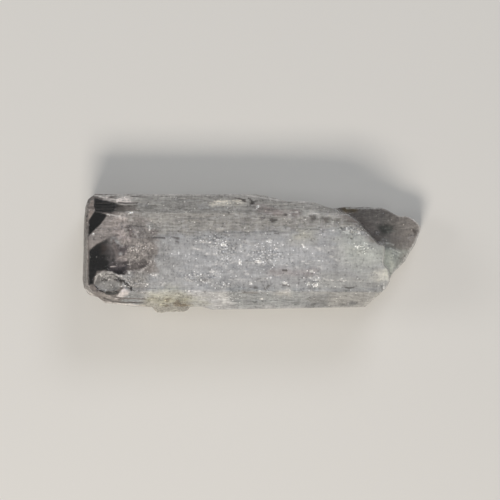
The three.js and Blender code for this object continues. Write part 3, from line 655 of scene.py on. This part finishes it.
strokes = {
    # thin lines on the upper side: points, width, frost, colour
    "endRimOuter": ([(-28.5, 9.6), (-29.3, 8.2), (-29.7, 4.0), (-29.9, -4.0), (-29.4, -6.3)],
        0.25, 0.52, "#b3aba4"),
    "endRimInner": ([(-28.9, 8.0), (-29.0, 3.0), (-29.0, -5.4)], 0.2, 0.57, "#b5aca5"),
    "endRimDark": ([(-29.2, 7.6), (-29.4, 1.0), (-29.4, -5.0)], 0.3, 0.32, "#8d827a"),
    # bright lines along the back outline: frosted edges, partly painted rim highlights
    "backRimHighlight": ([(-28.1, 10.2), (-14.8, 10.3), (-1.5, 10.3), (4.6, 9.3), (10.8, 9.0), (14.3, 7.9)],
        0.25, 0.85, "#dcd7d1"),
    "backHighlightA": ([(-27.3, 10.0), (-25.8, 9.8)], 0.2, 0.85, "#e4dcd5"),
    "backHighlightB": ([(-25.3, 9.6), (-24.4, 9.5)], 0.2, 0.9, "#efe6de"),
    "backHighlightC": ([(-24.0, 9.3), (-23.1, 9.5), (-22.4, 9.4)], 0.5, 0.95, "#fff4ec"),
    "backHighlightD": ([(-22.4, 9.7), (-21.3, 9.7)], 0.2, 0.9, "#efe6de"),
    "backDarkA": ([(-23.7, 8.9), (-22.3, 8.8), (-20.5, 8.8)], 0.2, 0.5, "#99928d"),
    "backDarkB": ([(-21.3, 10.0), (-18.9, 9.9)], 0.15, 0.5, "#a09994"),
    # painted rim highlight along the tongue's outline, over its frosted edge
    "tongueRimHighlight": ([(16.5, 8.0), (23.3, 8.0), (24.4, 7.5), (25.6, 6.7), (27.7, 6.4), (29.1, 5.5),
        (29.7, 4.6), (29.2, 2.9), (28.5, 1.7), (27.1, -0.7), (25.7, -2.5), (24.0, -4.5), (23.3, -5.8),
        (22.0, -7.0), (20.0, -8.9)], 0.2, 0.9, "#dedbd5"),
    # painted rim highlight along the front edge, over its frosted edge
    "frontRimHighlight": ([(-29.3, -6.4), (-27.8, -7.6), (-26.3, -8.6), (-19.1, -9.3)], 0.3, 0.9, "#d9d3cc"),
    "wispA": ([(-24.7, 6.65), (-24.0, 6.5), (-23.4, 6.55)], 0.18, 0.95, "#f3ece6"),
    "wispD": ([(-23.6, 6.3), (-23.1, 6.2)], 0.18, 0.92, "#e8e0da"),
    "wispB": ([(-24.1, 6.2), (-23.1, 6.3), (-22.1, 6.0)], 0.14, 0.82, "#d4cac4"),
    "wispC": ([(-22.5, 7.2), (-21.3, 7.3), (-20.1, 7.2)], 0.14, 0.85, "#dcd4ce"),
    "veilC": ([(-25.2, 1.5), (-24.6, 0.4), (-24.9, -1.0)], 0.3, 0.26, "#b9b0ae"),
    "veilD": ([(-24.5, 2.2), (-24.1, 1.2), (-23.9, 0.0)], 0.3, 0.4, "#b9aeaa"),
    "crossA": ([(-23.0, -0.3), (-22.5, -0.8), (-22.1, -1.3)], 0.16, 0.66, "#c6bbb6"),
    "crossB": ([(-23.6, -0.9), (-22.7, -0.6), (-22.2, 0.0)], 0.16, 0.66, "#c6bbb6"),
    "topDarkSide": ([(-21.7, 4.9), (-20.9, 4.8), (-20.3, 4.8)], 0.16, 0.5, "#948d88"),
    "topDarkDash": ([(-19.6, 4.75), (-19.1, 4.7)], 0.16, 0.5, "#948d88"),
    "paleLine": ([(-25.0, -2.35), (-23.9, -2.2), (-22.6, -2.15)], 0.13, 0.6, "#b9aeab"),
    "paleLineStart": ([(-24.9, -2.35), (-24.1, -2.25)], 0.16, 0.8, "#d3cac6"),
    "chipCrackStart": ([(-24.3, -4.1), (-23.9, -4.0), (-23.5, -4.4)], 0.14, 0.4, "#716b67"),
    "chipCrack": ([(-23.5, -4.4), (-23.1, -4.8), (-22.6, -4.8), (-22.5, -5.2), (-22.0, -5.3),
        (-21.9, -5.7)], 0.2, 0.3, "#5f5a57"),
    "chipCrackEnd": ([(-21.9, -5.6), (-21.4, -5.7), (-21.2, -6.3), (-20.8, -6.6)], 0.16, 0.4, "#716c68"),
    "chipFork": ([(-22.7, -5.7), (-22.3, -5.4), (-21.9, -6.0), (-21.5, -6.0), (-21.3, -6.5)],
        0.16, 0.3, "#5f5a57"),
    "chipCrackPale": ([(-24.0, -3.7), (-22.5, -4.4), (-21.0, -5.1)], 0.24, 0.85, "#cfcac5"),
    # painted shade and light on the chipped flake: a shadow crescent under it and a highlight along its
    # upper rim
    "crescentShadow": ([(-27.6, -5.7), (-27.1, -6.3), (-26.3, -6.7), (-25.5, -6.9)], 0.16, 0.12, "#6f6865"),
    "lowCrescentShadow": ([(-25.7, -6.95), (-24.7, -7.05), (-23.7, -6.85)], 0.36, 0.1, "#4a4441"),
    "chipRimHighlight": ([(-27.8, -5.2), (-27.3, -3.9), (-26.3, -3.2), (-24.7, -3.3)], 0.2, 0.8, "#cfcac4"),
    "frontCrack": ([(-26.2, -7.8), (-24.8, -8.4), (-23.5, -8.6), (-19.6, -8.7)], 0.22, 0.35, "#8a827d"),
    "frontHair": ([(-24.8, -7.5), (-22.7, -7.9), (-19.0, -8.0)], 0.2, 0.5, "#9a928d"),
    "darkArc": ([(-20.0, -2.4), (-18.6, -2.2), (-17.6, -1.3)], 0.25, 0.25, "#8c8380"),
    "paleArc": ([(-21.9, -3.1), (-19.8, -3.2), (-18.1, -1.9), (-17.4, -0.3)], 0.25, 0.85, "#cfc9c4"),
    "darkDash": ([(-17.6, 2.7), (-16.5, 2.75), (-15.5, 2.65)], 0.2, 0.4, "#8f8a88"),
    "darkDashB": ([(-14.0, 2.75), (-13.5, 2.65), (-13.0, 2.65)], 0.24, 0.55, "#9b9694"),
    "darkDashC": ([(-13.4, 2.1), (-13.1, 1.9)], 0.2, 0.6, "#a5a09e"),
    "ringDarkA": ([(1.9, -6.2), (2.4, -6.0), (2.7, -5.6)], 0.24, 0.5, "#99958f"),
    "ringDarkB": ([(-0.6, -5.85), (0.0, -6.0), (0.5, -5.95)], 0.2, 0.55, "#a09c97"),
    "ringPale": ([(0.9, -4.9), (1.8, -4.3), (2.8, -4.6)], 0.2, 0.85, "#d3d1cd"),
    "underGlint": ([(5.1, -5.5), (5.7, -5.55), (6.3, -5.75)], 0.18, 0.55, "#a09c98"),
    "darkTopA": ([(-3.3, 9.7), (-2.4, 9.6), (-1.7, 9.4)], 0.16, 0.35, "#857e79"),
    "darkTopB": ([(-0.8, 9.7), (-0.2, 9.0), (0.6, 9.2)], 0.18, 0.35, "#857e79"),
    # painted glints: white dashes along the yellow streak
    "highlightStreakA": ([(-6.9, 9.1), (-5.5, 9.2), (-4.1, 9.2)], 0.16, 0.95, "#fff5e4"),
    "highlightStreakB": ([(-3.8, 9.3), (-2.9, 9.2), (-2.1, 9.3)], 0.18, 0.95, "#fff5e4"),
    "columnPaleA": ([(11.6, 6.4), (11.5, 5.2)], 0.2, 0.78, "#c9c7c1"),
    "columnPaleB": ([(13.9, 6.4), (13.7, 5.1)], 0.24, 0.8, "#cbc9c3"),
    "darkDot": ([(5.5, 6.75), (5.9, 6.8)], 0.25, 0.4, "#8f8783"),
    "darkDashBack": ([(3.6, 3.5), (4.4, 3.45)], 0.16, 0.55, "#a19c98"),
    "glintStreak": ([(9.5, 6.9), (10.5, 7.0), (11.4, 6.9)], 0.14, 0.9, "#e9e4dd"),
    "glintStreakB": ([(6.3, 7.2), (7.7, 7.2)], 0.18, 0.95, "#efe9e2"),
    "upperDashA": ([(-6.5, 4.3), (-4.3, 4.25)], 0.16, 0.88, "#d8d4cf"),
    "upperDashB": ([(1.1, 7.7), (3.5, 7.6)], 0.14, 0.6, "#a79f9a"),
    # painted rim highlights near the back edge
    "upperHighlightC": ([(7.3, 7.9), (8.7, 7.8)], 0.18, 0.85, "#cfcac4"),
    "upperHighlightD": ([(9.1, 8.3), (11.3, 8.1)], 0.16, 0.85, "#cbc6c0"),
    "lowDashA": ([(-2.1, -6.6), (0.7, -6.7)], 0.14, 0.85, "#cfcbc5"),
    "lowDashB": ([(-1.9, -6.9), (0.8, -6.95)], 0.14, 0.6, "#98938e"),
    "darkLowA": ([(5.1, -2.95), (5.8, -3.1)], 0.2, 0.4, "#8f8883"),
    "darkLowB": ([(15.9, -5.9), (16.7, -6.1), (17.4, -6.0)], 0.2, 0.45, "#93908b"),
    "darkLowC": ([(13.3, -6.9), (14.5, -7.1)], 0.18, 0.45, "#93908b"),
    "tongueHairA": ([(23.1, 1.9), (24.9, 1.55)], 0.16, 0.8, "#d2d2ca"),
    "tongueHairB": ([(24.2, 0.9), (26.2, 0.0)], 0.18, 0.92, "#e2e4db"),
    "tongueHairD": ([(23.3, 4.4), (24.9, 4.5)], 0.12, 0.55, "#b2b0a8"),
    "tongueHairE": ([(23.7, 3.9), (25.5, 4.0)], 0.12, 0.55, "#b2b0a8"),
    "tongueHairF": ([(22.7, 2.5), (24.5, 2.3)], 0.12, 0.6, "#b8b7ae"),
    "tongueHairC": ([(24.7, 0.2), (25.9, -0.5)], 0.16, 0.92, "#e2e4db"),
    "tongueMark": ([(28.4, 4.1), (28.7, 3.7)], 0.3, 0.32, "#8c8178"),
}
glints = [
    # painted glints: pale spots painted where flat facets flash white; middle x and y, length along and
    # across the prism
    (-28.0, 3.4, 0.4, 0.3), (-25.4, 6.8, 0.6, 0.16), (-21.7, -3.4, 0.35, 0.45), (-21.4, 7.1, 0.55, 0.18),
    (-18.2, 4.3, 0.16, 0.6), (-10.2, -3.7, 0.4, 0.4), (-9.0, 2.2, 0.45, 0.2), (-5.1, 1.6, 0.5, 0.4),
    (-4.0, -4.7, 0.7, 0.16), (-2.4, -1.6, 0.28, 0.8), (-2.2, 1.3, 0.28, 0.45), (-0.5, -5.2, 0.45, 0.25),
    (0.9, -1.4, 0.9, 0.3), (0.8, 8.2, 0.45, 0.45), (1.4, -8.0, 0.5, 0.2), (2.8, 2.3, 0.5, 0.4),
    (5.5, -5.2, 0.8, 0.32), (8.7, 1.3, 0.28, 0.4), (10.1, -3.1, 0.7, 0.45), (10.8, -5.6, 0.75, 0.4),
    (11.0, -4.5, 0.7, 0.25), (9.8, -4.2, 0.5, 0.16), (9.7, -5.4, 0.4, 0.16), (11.4, -1.3, 0.5, 0.14),
    (14.0, 4.0, 0.28, 0.28), (16.3, 4.1, 0.35, 0.35), (17.2, 4.1, 0.3, 0.3), (18.4, 3.7, 0.3, 0.3),
    (18.0, 1.2, 0.3, 0.25),
]
milkClouds = {
    # where the milk is paler or dimmer: middle x and y, half the length and the width, how bright
    "paleMiddle": (7.4, 0.7, 5.5, 1.9, 1.07),
    "paleBroken": (14.4, -2.8, 2.6, 1.9, 1.05),
    "paleFront": (-11.2, -5.8, 3.0, 1.5, 1.05),
    "paleFrontBroken": (9.6, -6.4, 2.6, 1.9, 1.06),
    "paleBack": (-18.5, 8.2, 4.5, 1.3, 1.08),
    "paleBackMiddle": (-6.1, 8.2, 3.5, 1.2, 1.1),
    "paleBackEdge": (7.0, 7.6, 2.0, 1.0, 1.17),
    "paleBackCorner": (-21.2, 9.2, 1.6, 0.9, 1.18),
    "paleBackPink": (-21.0, 6.8, 1.8, 1.6, 1.1),
    "paleRidge": (3.5, 1.4, 10.0, 1.0, 1.05),
    "paleRidgeEnd": (13.6, -0.2, 1.8, 1.0, 1.07),
    "paleFrontEdge": (10.4, -8.0, 1.8, 0.9, 1.1),
    "dimLeft": (-13.8, 0.6, 3.2, 2.2, 0.94),
    "dimLeftBack": (-14.8, 3.6, 1.8, 1.5, 0.93),
    "dimBackMiddle": (-2.1, 6.2, 2.3, 1.0, 0.9),
    "dimMiddle": (-1.0, -2.3, 5.0, 2.0, 0.91),
    "dimBroken": (16.7, -1.8, 1.8, 0.9, 0.94),
    "dimFrontBroken": (14.8, -5.9, 2.4, 1.4, 0.93),
    "dimFront": (-21.0, -7.4, 2.8, 1.2, 0.87),
    "dimFrontTip": (18.0, -7.9, 4.0, 1.4, 0.87),
    "dimBackSlope": (-11.0, 6.0, 4.5, 1.2, 0.96),
    "dimFrontMiddle": (-21.2, -3.4, 2.2, 1.5, 0.84),
}
calmZones = {
    # where the milk is an even haze: middle x and y, half the length and the width
    "blue": (6.4, 1.2, 5.0, 2.0),
    "green": (19.0, 0.4, 3.2, 2.6),
    "frontHaze": (-12.4, -5.2, 3.0, 1.4),
    "broken": (18.5, -4.4, 3.5, 2.2),
}
etchZones = {
    # where the etching glitters most: middle x and y, half the length and the width
    "middleLeft": (-5.3, 0.9, 1.8, 2.3),
    "middleBack": (-7.6, 2.4, 2.6, 0.6),
    "middleRight": (2.2, -0.4, 2.7, 1.6),
    "far": (10.5, -5.0, 1.3, 1.2),
    "back": (17.7, 4.0, 2.2, 1.0),
    "frontLeft": (-9.4, -4.0, 3.0, 0.8),
    "frontMiddle": (-5.2, -5.4, 1.2, 0.7),
    "nearMottle": (-20.4, -4.6, 1.8, 0.9),
    "mottle": (-19.9, 0.6, 1.2, 1.2),
    "frontRow": (-3.9, -7.4, 1.4, 0.6),
    "farRight": (19.0, 1.1, 1.2, 1.0),
}
zoneEdges = {
    "calm": (0.5, 1.4, 0.2),   # where a zone starts to fade and is gone, in half sizes, and its raggedness
    "etch": (0.5, 1.5, 0.4),
    "scatter": 0.03,           # etching outside its zones
    "tongue": 0.6,             # softness of the tongue's edge
    "mottle": 1.2,             # softness and raggedness of the mottled mass
    "mottleRagged": 0.5,
    "restMottle": 0.25,        # mottling of what isn't the mottled mass
    "streakyX": (-15, -11),    # past these stretches of x and y the crystal has streaks, no mottling
    "streakyRagged": 3,
    "streakyY": (9, -3),
    "backBand": (2.2, 4.2),    # y past which the back slopes have dashes
    "frontBand": (-5.2, -6.8),  # and past which the front slope has them
}


def distanceTo(spots, a, b):
    # distance in millimetres on the plan to the line from a to b
    along = np.clip((spots - a) @ (b - a) / ((b - a) @ (b - a)), 0, 1)
    return np.linalg.norm(spots - a - along[:, None] * (b - a), axis=1)


def insideOutline(spots, outline):
    # distance to an outline on the plan, positive inside it
    inside = np.zeros(len(spots), bool)
    nearest = np.full(len(spots), 1e9)
    corners = [np.array(corner) for corner in outline]
    for a, b in zip(corners, corners[1:] + corners[:1]):
        nearest = np.minimum(nearest, distanceTo(spots, a, b))
        if a[1] != b[1]:
            crossX = a[0] + (spots[:, 1] - a[1]) / (b[1] - a[1]) * (b[0] - a[0])
            inside ^= ((spots[:, 1] < a[1]) != (spots[:, 1] < b[1])) & (spots[:, 0] < crossX)
    return np.where(inside, nearest, -nearest)


def farFrom(spots, x, y, halfLength, halfWidth):
    # distance from the middle of an oval, 1 at its edge
    return np.hypot((spots[:, 0] - x) / halfLength, (spots[:, 1] - y) / halfWidth)


def zoneShare(spots, zones, ragged, fadesFrom, goneAt, roughness):
    # 1 in the middle of each oval zone and 0 away from them all
    share = np.zeros(len(spots))
    for zone in zones.values():
        far = farFrom(spots, *zone) + roughness * ragged
        share = np.maximum(share, 1 - smoothStep(fadesFrom, goneAt, far))
    return share


def sharpness(mesh, points, normals):
    # how far each point stands proud of its neighbours, as a share of the cell size
    ends = np.empty(len(mesh.edges) * 2, np.int32)
    mesh.edges.foreach_get("vertices", ends)
    a, b = ends.reshape(-1, 2).T
    length = np.linalg.norm(points[a] - points[b], axis=1)
    total = np.zeros_like(points)
    reach = np.zeros(len(points))
    count = np.zeros(len(points))
    for one, other in ((a, b), (b, a)):
        np.add.at(total, one, points[other])
        np.add.at(reach, one, length)
        np.add.at(count, one, 1)
    proud = np.einsum("ij,ij->i", points - total / count[:, None], normals)
    return proud / (reach / count)


def blend(paint, share, frost, colour):
    # moves the frost and the milk of each point by its share towards a frost and a colour
    paint["frost"] += share * (frost - paint["frost"])
    paint["milk"] += share[:, None] * (np.array(linear(colour)[:3]) - paint["milk"])


def paintGround(points, upper, ragged):
    # the milky upper side, the frosted sides, and the veils round the whole end
    paint = {
        "frost": np.full(len(points), body["frost"]),
        "milk": np.tile(np.array(linear(body["milk"])[:3]), (len(points), 1)),
    }
    blend(paint, 1 - upper, body["flankFrost"], body["flankMilk"])
    clearSides = (1 - upper) * (1 - smoothStep(*veils["upTo"], points[:, 0] + veils["ragged"] * ragged))
    soft = veils["softShare"] * smoothStep(*veils["soft"], noiseAt(points, "veils"))
    cracks = 1 - smoothStep(0.0, veils["crackWidth"], np.abs(noiseAt(points, "wisps")))
    clearest, mostVeiled = veils["frost"]
    frost = clearest + (mostVeiled - clearest) * np.maximum(soft, cracks)
    blend(paint, clearSides, frost, veils["milk"])
    return paint


def layMarks(paint, points, upper, ragged):
    # outlined marks, then thin lines, then glints, each over the ones before it
    spots = points[:, :2]
    layers = [(insideOutline(spots, outline) + rough * ragged, soft, frost, colour)
              for outline, frost, colour, soft, rough in marks.values()]
    usual, uneven = brush["lineBreaks"]
    broken = np.clip(usual + uneven * noiseAt(points, "brokenLine"), *brush["lineLimits"])
    for line, width, frost, colour in strokes.values():
        corners = [np.array(corner) for corner in line]
        near = np.min([distanceTo(spots, a, b) for a, b in zip(corners, corners[1:])], axis=0)
        depth = width / 2 * (brush["lineLeast"] + broken) - near + brush["lineRagged"] * ragged
        layers.append((depth, brush["lineSoft"], frost, colour))
    # the glints are painted highlights: pale frosted spots where flat facets would flash white
    for x, y, along, across in glints:
        depth = (brush["glintEdge"] - farFrom(spots, x, y, along, across)) * min(along, across)
        layers.append((depth, brush["lineSoft"], brush["glintFrost"], brush["glintMilk"]))
    # the marks run out above the front's lower edge
    out = smoothStep(*brush["frontY"], points[:, 1])
    painted = upper * (1 - out * (1 - smoothStep(*brush["frontZ"], points[:, 2] + ragged)))
    for depth, soft, frost, colour in layers:
        blend(paint, smoothStep(-soft, soft, depth) * painted, frost, colour)


def tintMilk(paint, points, upper, ragged):
    # rings of the ripples, then clouds in the milk
    wave = rippleWave(points) * upper
    paint["milk"] *= 1 + body["rippleTone"] * wave[:, None]
    for *zone, bright in milkClouds.values():
        far = farFrom(points[:, :2], *zone) + body["cloudRagged"] * ragged
        share = (1 - smoothStep(*body["cloudReach"], far)) * upper
        paint["milk"] *= 1 + (bright - 1) * share[:, None]


def paintLightOnWall(paint, points, normals, upper):
    # painted light: the wall faces away from the front lamp, so it is painted paler and more frosted
    x, y, z = points.T
    share = smoothStep(*wallPaintedLight["above"], z) * (1 - smoothStep(*wallPaintedLight["facing"], normals[:, 2]))
    share *= smoothStep(*wallPaintedLight["from"], x) * smoothStep(*wallPaintedLight["turned"], normals[:, 0]) * upper
    blend(paint, share, wallPaintedLight["frost"] - wallPaintedLight["clearer"] * smoothStep(*wallPaintedLight["clearerFrom"], y), wallPaintedLight["milk"])


def paintWearAndHighlight(paint, mesh, points, normals):
    x, z = points[:, 0], points[:, 2]
    # white frost on the sharp edges: partly wear, partly a painted highlight along them
    share = smoothStep(*wearAndHighlight["from"], sharpness(mesh, points, normals)) * smoothStep(*wearAndHighlight["aboveBase"], z)
    share *= smoothStep(*wearAndHighlight["notClear"], paint["frost"])
    share *= 1 - wearAndHighlight["lessHigh"] * smoothStep(*wearAndHighlight["atBroken"], x) * smoothStep(*wearAndHighlight["high"], z)
    usual, uneven = wearAndHighlight["patches"]
    share *= np.clip(usual + uneven * noiseAt(points, "wearAndHighlight"), *wearAndHighlight["limits"])
    blend(paint, share, wearAndHighlight["frost"], wearAndHighlight["milk"])


def surfaceShares(points, upper, ragged):
    # where the crystal is calm, etched, mottled, dashed or flashing, for its material
    spots = points[:, :2]
    soft = zoneEdges["tongue"]
    onTongue = smoothStep(-soft, soft, insideOutline(spots, marks["tongue"][0])) * upper
    scattered = zoneEdges["scatter"] * (1 - onTongue)
    soft = zoneEdges["mottle"]
    inMass = insideOutline(spots, marks["mottledMass"][0]) + zoneEdges["mottleRagged"] * ragged
    mottle = smoothStep(-soft, soft, inMass) * upper
    streaky = smoothStep(*zoneEdges["streakyX"], points[:, 0] + zoneEdges["streakyRagged"] * ragged)
    streaky *= smoothStep(*zoneEdges["streakyY"], points[:, 1])
    restMottle = zoneEdges["restMottle"] * (1 - streaky) * upper * (1 - onTongue)
    bands = smoothStep(*zoneEdges["backBand"], spots[:, 1] + ragged)
    bands += smoothStep(*zoneEdges["frontBand"], spots[:, 1] - ragged)
    # round each painted glint the painted facet glints grow brighter and more common
    flash = np.zeros(len(points))
    for glint in glints:
        flash = np.maximum(flash, 1 - smoothStep(*brush["glintFlash"], farFrom(spots, *glint)))
    return {
        "etch": np.maximum(scattered, zoneShare(spots, etchZones, ragged, *zoneEdges["etch"])),
        "calm": zoneShare(spots, calmZones, ragged, *zoneEdges["calm"]) * upper,
        "mottle": np.maximum(mottle, restMottle),
        "bands": bands,
        "flash": flash * upper,
    }


def paintSkin(mesh, points, normals, stain):
    # writes the paint to the mesh, as attributes that the material reads
    ragged = noiseAt(points, "raggedEdge")
    upper = smoothStep(*body["upperFacing"], normals[:, 2])
    paint = paintGround(points, upper, ragged)
    layMarks(paint, points, upper, ragged)
    tintMilk(paint, points, upper, ragged)
    paintLightOnWall(paint, points, normals, upper)
    paintWearAndHighlight(paint, mesh, points, normals)
    layers = {"frost": paint["frost"], **surfaceShares(points, upper, ragged), "stain": stain}
    for name, values in layers.items():
        mesh.attributes.new(name, "FLOAT", "POINT").data.foreach_set("value", values.astype(np.float32))
    milk = mesh.attributes.new("milk", "FLOAT_VECTOR", "POINT")
    milk.data.foreach_set("vector", paint["milk"].astype(np.float32).ravel())


def fineRelief(points, normals, streaks, stain):
    # how far each point stands out of the skin
    sides = 1 - smoothStep(*relief["acrossEnds"], np.abs(normals[:, 0]))
    sides *= 1 - relief["endCalm"] * (1 - smoothStep(*relief["calmEnd"], points[:, 0]))
    lift = (relief["streakHeight"] * streaks + relief["unevenHeight"] * noiseAt(points, "uneven")) * sides
    lift += relief["rippleHeight"] * rippleWave(points) * smoothStep(*relief["rippleFacing"], normals[:, 2])
    lift -= etchPits(points, normals) * sides
    lift += relief["plateHeight"] * growthPlates(points, normals)
    lift += relief["grainHeight"] * stain * noiseAt(points, "grains")
    return lift * smoothStep(*relief["baseFade"], points[:, 2])


def makeSkin():
    piece = remeshedCopy("crystalSkin")
    mesh = piece.data
    refineAndSettle(mesh)
    print("skin:", len(mesh.polygons), "faces")
    points, normals = pointsAndNormals(mesh)
    streaks = noiseAt(points, "streaks")
    stain = crustStain(points)
    points[:, 2] += levelTop(points)
    points[:, :2] += squareEnd(points)
    lift = fineRelief(points, normals, streaks, stain)
    moved = points + normals * lift[:, None]
    mesh.vertices.foreach_set("co", (moved * mm).astype(np.float32).ravel())
    print("relief: from", lift.min().round(2), "to", lift.max().round(2), "mm")
    paintSkin(mesh, points, normals, stain)
    print("paint:", len(marks), "marks,", len(strokes), "lines and", len(glints), "glints")
    mesh.update()
    mesh.shade_smooth()
    mesh.set_sharp_from_angle(angle=math.radians(skin["sharpAngle"]))
    mesh.materials.clear()
    mesh.materials.append(etchedCrystal())
    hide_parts("danburite_crystal")
    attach(piece, "root")


finish = {
    "ior": 1.63,
    "absorption": ("#979088", 150.0),  # what the clear crystal lets through, and how fast it darkens
    "roughness": (0.04, 0.16),  # where it is clear and where it is frosted
    "stainTint": "#f3efe2",
    "tone": 0.58,              # the ground tone, to which the textures below add theirs
    "cloudTone": (0.62, 0.3),  # the clouds' share elsewhere and in the calm zones
    "hairTone": 0.36,
    "crossTone": 0.4,
    "grainTone": (0.16, 0.6),  # the grain's share elsewhere and where the etching is
    "swirlTone": 1.3,
    "dashTone": 0.62,
    # painted glints on the facets: their size, how rare they are and how bright they are painted
    "fleckSize": 3.3,          # facets a millimetre
    "fleckEdge": (0.42, 0.22),
    "lightFrom": (0.97, 0.6),  # how rare the facets that catch the light are, elsewhere and in the etching
    "flashMore": -0.25,        # what a glint adds to that
    "flashBright": 0.7,        # and to how bright they are
    "lightTone": 0.75,
    "darkUpTo": (0.05, 0.3),   # how common the dark facets are, elsewhere and in the stain
    "darkTone": -0.14,
    "pitSize": 1.9,            # pits a millimetre
    "pitBump": 0.4,            # how deep they seem
    "hairBump": 0.2,           # how high the hairlines seem
    "hairStrength": 0.5,
    "grainSize": 4.2,          # tilted grains a millimetre
    "grainTilt": (0.35, 0.85),  # how far they tilt elsewhere and where the etching is
}
textures = {
    # stretch along x, y and z, cycles a millimetre, detail, roughness and distortion
    "clouds": ((0.6, 1.0, 1.0), 0.45, 8.0, 0.68, 0.0),
    "hairs": ((0.14, 1.0, 1.0), 2.2, 4.0, 0.7, 0.0),     # hairlines along the prism
    "cross": ((1.0, 0.25, 0.25), 2.0, 3.0, 0.7, 0.0),    # faint lines across it
    "grain": ((1.0, 1.0, 1.0), 3.0, 2.0, 0.6, 0.0),
    "swirls": ((1.0, 1.0, 1.0), 1.0, 4.0, 0.7, 1.6),
    "dashes": ((0.24, 1.0, 1.0), 3.2, 2.0, 0.6, 0.0),    # on the slopes beside the top
}


def noiseTexture(tree, inMm, name):
    stretch, cycles, detail, roughness, distortion = textures[name]
    place = addNode(tree, "ShaderNodeMapping", Vector=inMm, Scale=stretch).outputs[0]
    return addNode(tree, "ShaderNodeTexNoise", Vector=place, Scale=cycles, Detail=detail,
                   Roughness=roughness, Distortion=distortion).outputs["Fac"]


def squareCells(tree, inMm, cellsPerMm):
    # four-sided cells, like the pits and facets of the etching
    cells = addNode(tree, "ShaderNodeTexVoronoi", {"distance": "CHEBYCHEV"}, Vector=inMm, Scale=cellsPerMm)
    return cells.outputs


def centred(tree, texture):
    # a texture about 0, and not about the middle of its range
    return maths(tree, "SUBTRACT", texture, 0.5)


def paintedFacetGlints(tree, inMm, tone, etch, flash, stain):
    # painted glints: the facets that catch the light are painted brighter than their grain, and some are
    # dark
    cells = squareCells(tree, inMm, finish["fleckSize"])
    kind, brightness, darkness = addNode(tree, "ShaderNodeSeparateXYZ", Vector=cells["Color"]).outputs
    outer, inner = finish["fleckEdge"]
    shape = ranged(tree, cells["Distance"], 0.0, 1.0, From_Min=outer, From_Max=inner)
    lightFrom = ranged(tree, etch, *finish["lightFrom"])
    lightFrom = maths(tree, "MULTIPLY_ADD", flash, finish["flashMore"], lightFrom)
    light = maths(tree, "GREATER_THAN", kind, lightFrom)
    for factor in (shape, maths(tree, "MULTIPLY_ADD", flash, finish["flashBright"], brightness)):
        light = maths(tree, "MULTIPLY", light, factor)
    dark = maths(tree, "LESS_THAN", darkness, ranged(tree, stain, *finish["darkUpTo"]))
    tone = maths(tree, "MULTIPLY_ADD", light, finish["lightTone"], tone)
    return maths(tree, "MULTIPLY_ADD", dark, finish["darkTone"], tone)


def etchedNormal(tree, inMm, hairs, etch, frost):
    # hairlines, pits, and grains that are each tilted their own way, most where the etching is
    hairBump = addNode(tree, "ShaderNodeBump", Height=hairs, Strength=finish["hairStrength"],
                       Distance=finish["hairBump"] * mm)
    cells = squareCells(tree, inMm, finish["pitSize"])
    depth = addNode(tree, "ShaderNodeSeparateXYZ", Vector=cells["Color"]).outputs[0]
    height = maths(tree, "MULTIPLY", maths(tree, "MULTIPLY", cells["Distance"], depth), etch)
    pitBump = addNode(tree, "ShaderNodeBump", Height=height, Strength=1.0, Distance=finish["pitBump"] * mm,
                      Normal=hairBump.outputs[0])
    grains = squareCells(tree, inMm, finish["grainSize"])
    tilt = vectorMaths(tree, "SUBTRACT", _0=grains["Color"], _1=(0.5, 0.5, 0.5))
    for scale in (ranged(tree, etch, *finish["grainTilt"]), frost):
        tilt = vectorMaths(tree, "SCALE", _0=tilt, Scale=scale)
    turned = vectorMaths(tree, "ADD", _0=tilt, _1=pitBump.outputs[0])
    return vectorMaths(tree, "NORMALIZE", _0=turned)


def etchedCrystal():
    # natural danburite: vitreous and clear, so the eye sees into it, and frosted by striations, etch pits
    # and milk
    material, tree = newMaterial("etchedDanburite")
    place = addNode(tree, "ShaderNodeTexCoord").outputs["Object"]
    inMm = addNode(tree, "ShaderNodeMapping", Vector=place, Scale=(1 / mm, 1 / mm, 1 / mm)).outputs[0]
    frost, stain, etch, calm, mottle, bands, flash = [
        addNode(tree, "ShaderNodeAttribute", {"attribute_name": name}).outputs["Fac"]
        for name in ("frost", "stain", "etch", "calm", "mottle", "bands", "flash")
    ]
    milk = addNode(tree, "ShaderNodeAttribute", {"attribute_name": "milk"}).outputs["Vector"]
    clouds, hairs, cross, grain, swirls, dashes = [noiseTexture(tree, inMm, name) for name in textures]
    # the tone that the milk and the frost are multiplied by
    tone = finish["tone"]
    for texture, strength in (
        (centred(tree, clouds), ranged(tree, calm, *finish["cloudTone"])),
        (hairs, finish["hairTone"]),
        (cross, finish["crossTone"]),
        (centred(tree, grain), ranged(tree, etch, *finish["grainTone"])),
        (maths(tree, "MULTIPLY", centred(tree, swirls), mottle), finish["swirlTone"]),
        (maths(tree, "MULTIPLY", centred(tree, dashes), bands), finish["dashTone"]),
    ):
        tone = maths(tree, "MULTIPLY_ADD", texture, strength, tone)
    tone = paintedFacetGlints(tree, inMm, tone, etch, flash, stain)
    tinted = addNode(tree, "ShaderNodeMix", {"data_type": "RGBA", "blend_type": "MULTIPLY"}, Factor=stain,
                     A=vectorMaths(tree, "SCALE", _0=milk, Scale=tone), B=linear(finish["stainTint"]))
    frosted = maths(tree, "MULTIPLY", frost, tone, clamp=True)
    clear = maths(tree, "SUBTRACT", 1.0, frosted, clamp=True)
    surface = addNode(
        tree, "ShaderNodeBsdfPrincipled", Base_Color=tinted.outputs["Result"], IOR=finish["ior"],
        Roughness=ranged(tree, frost, *finish["roughness"]), Transmission_Weight=clear,
        Normal=etchedNormal(tree, inMm, hairs, etch, frost),
    )
    colour, density = finish["absorption"]
    absorption = addNode(tree, "ShaderNodeVolumeAbsorption", Color=linear(colour), Density=density)
    addNode(tree, "ShaderNodeOutputMaterial", Surface=surface.outputs[0], Volume=absorption.outputs[0])
    return material


makeSkin()
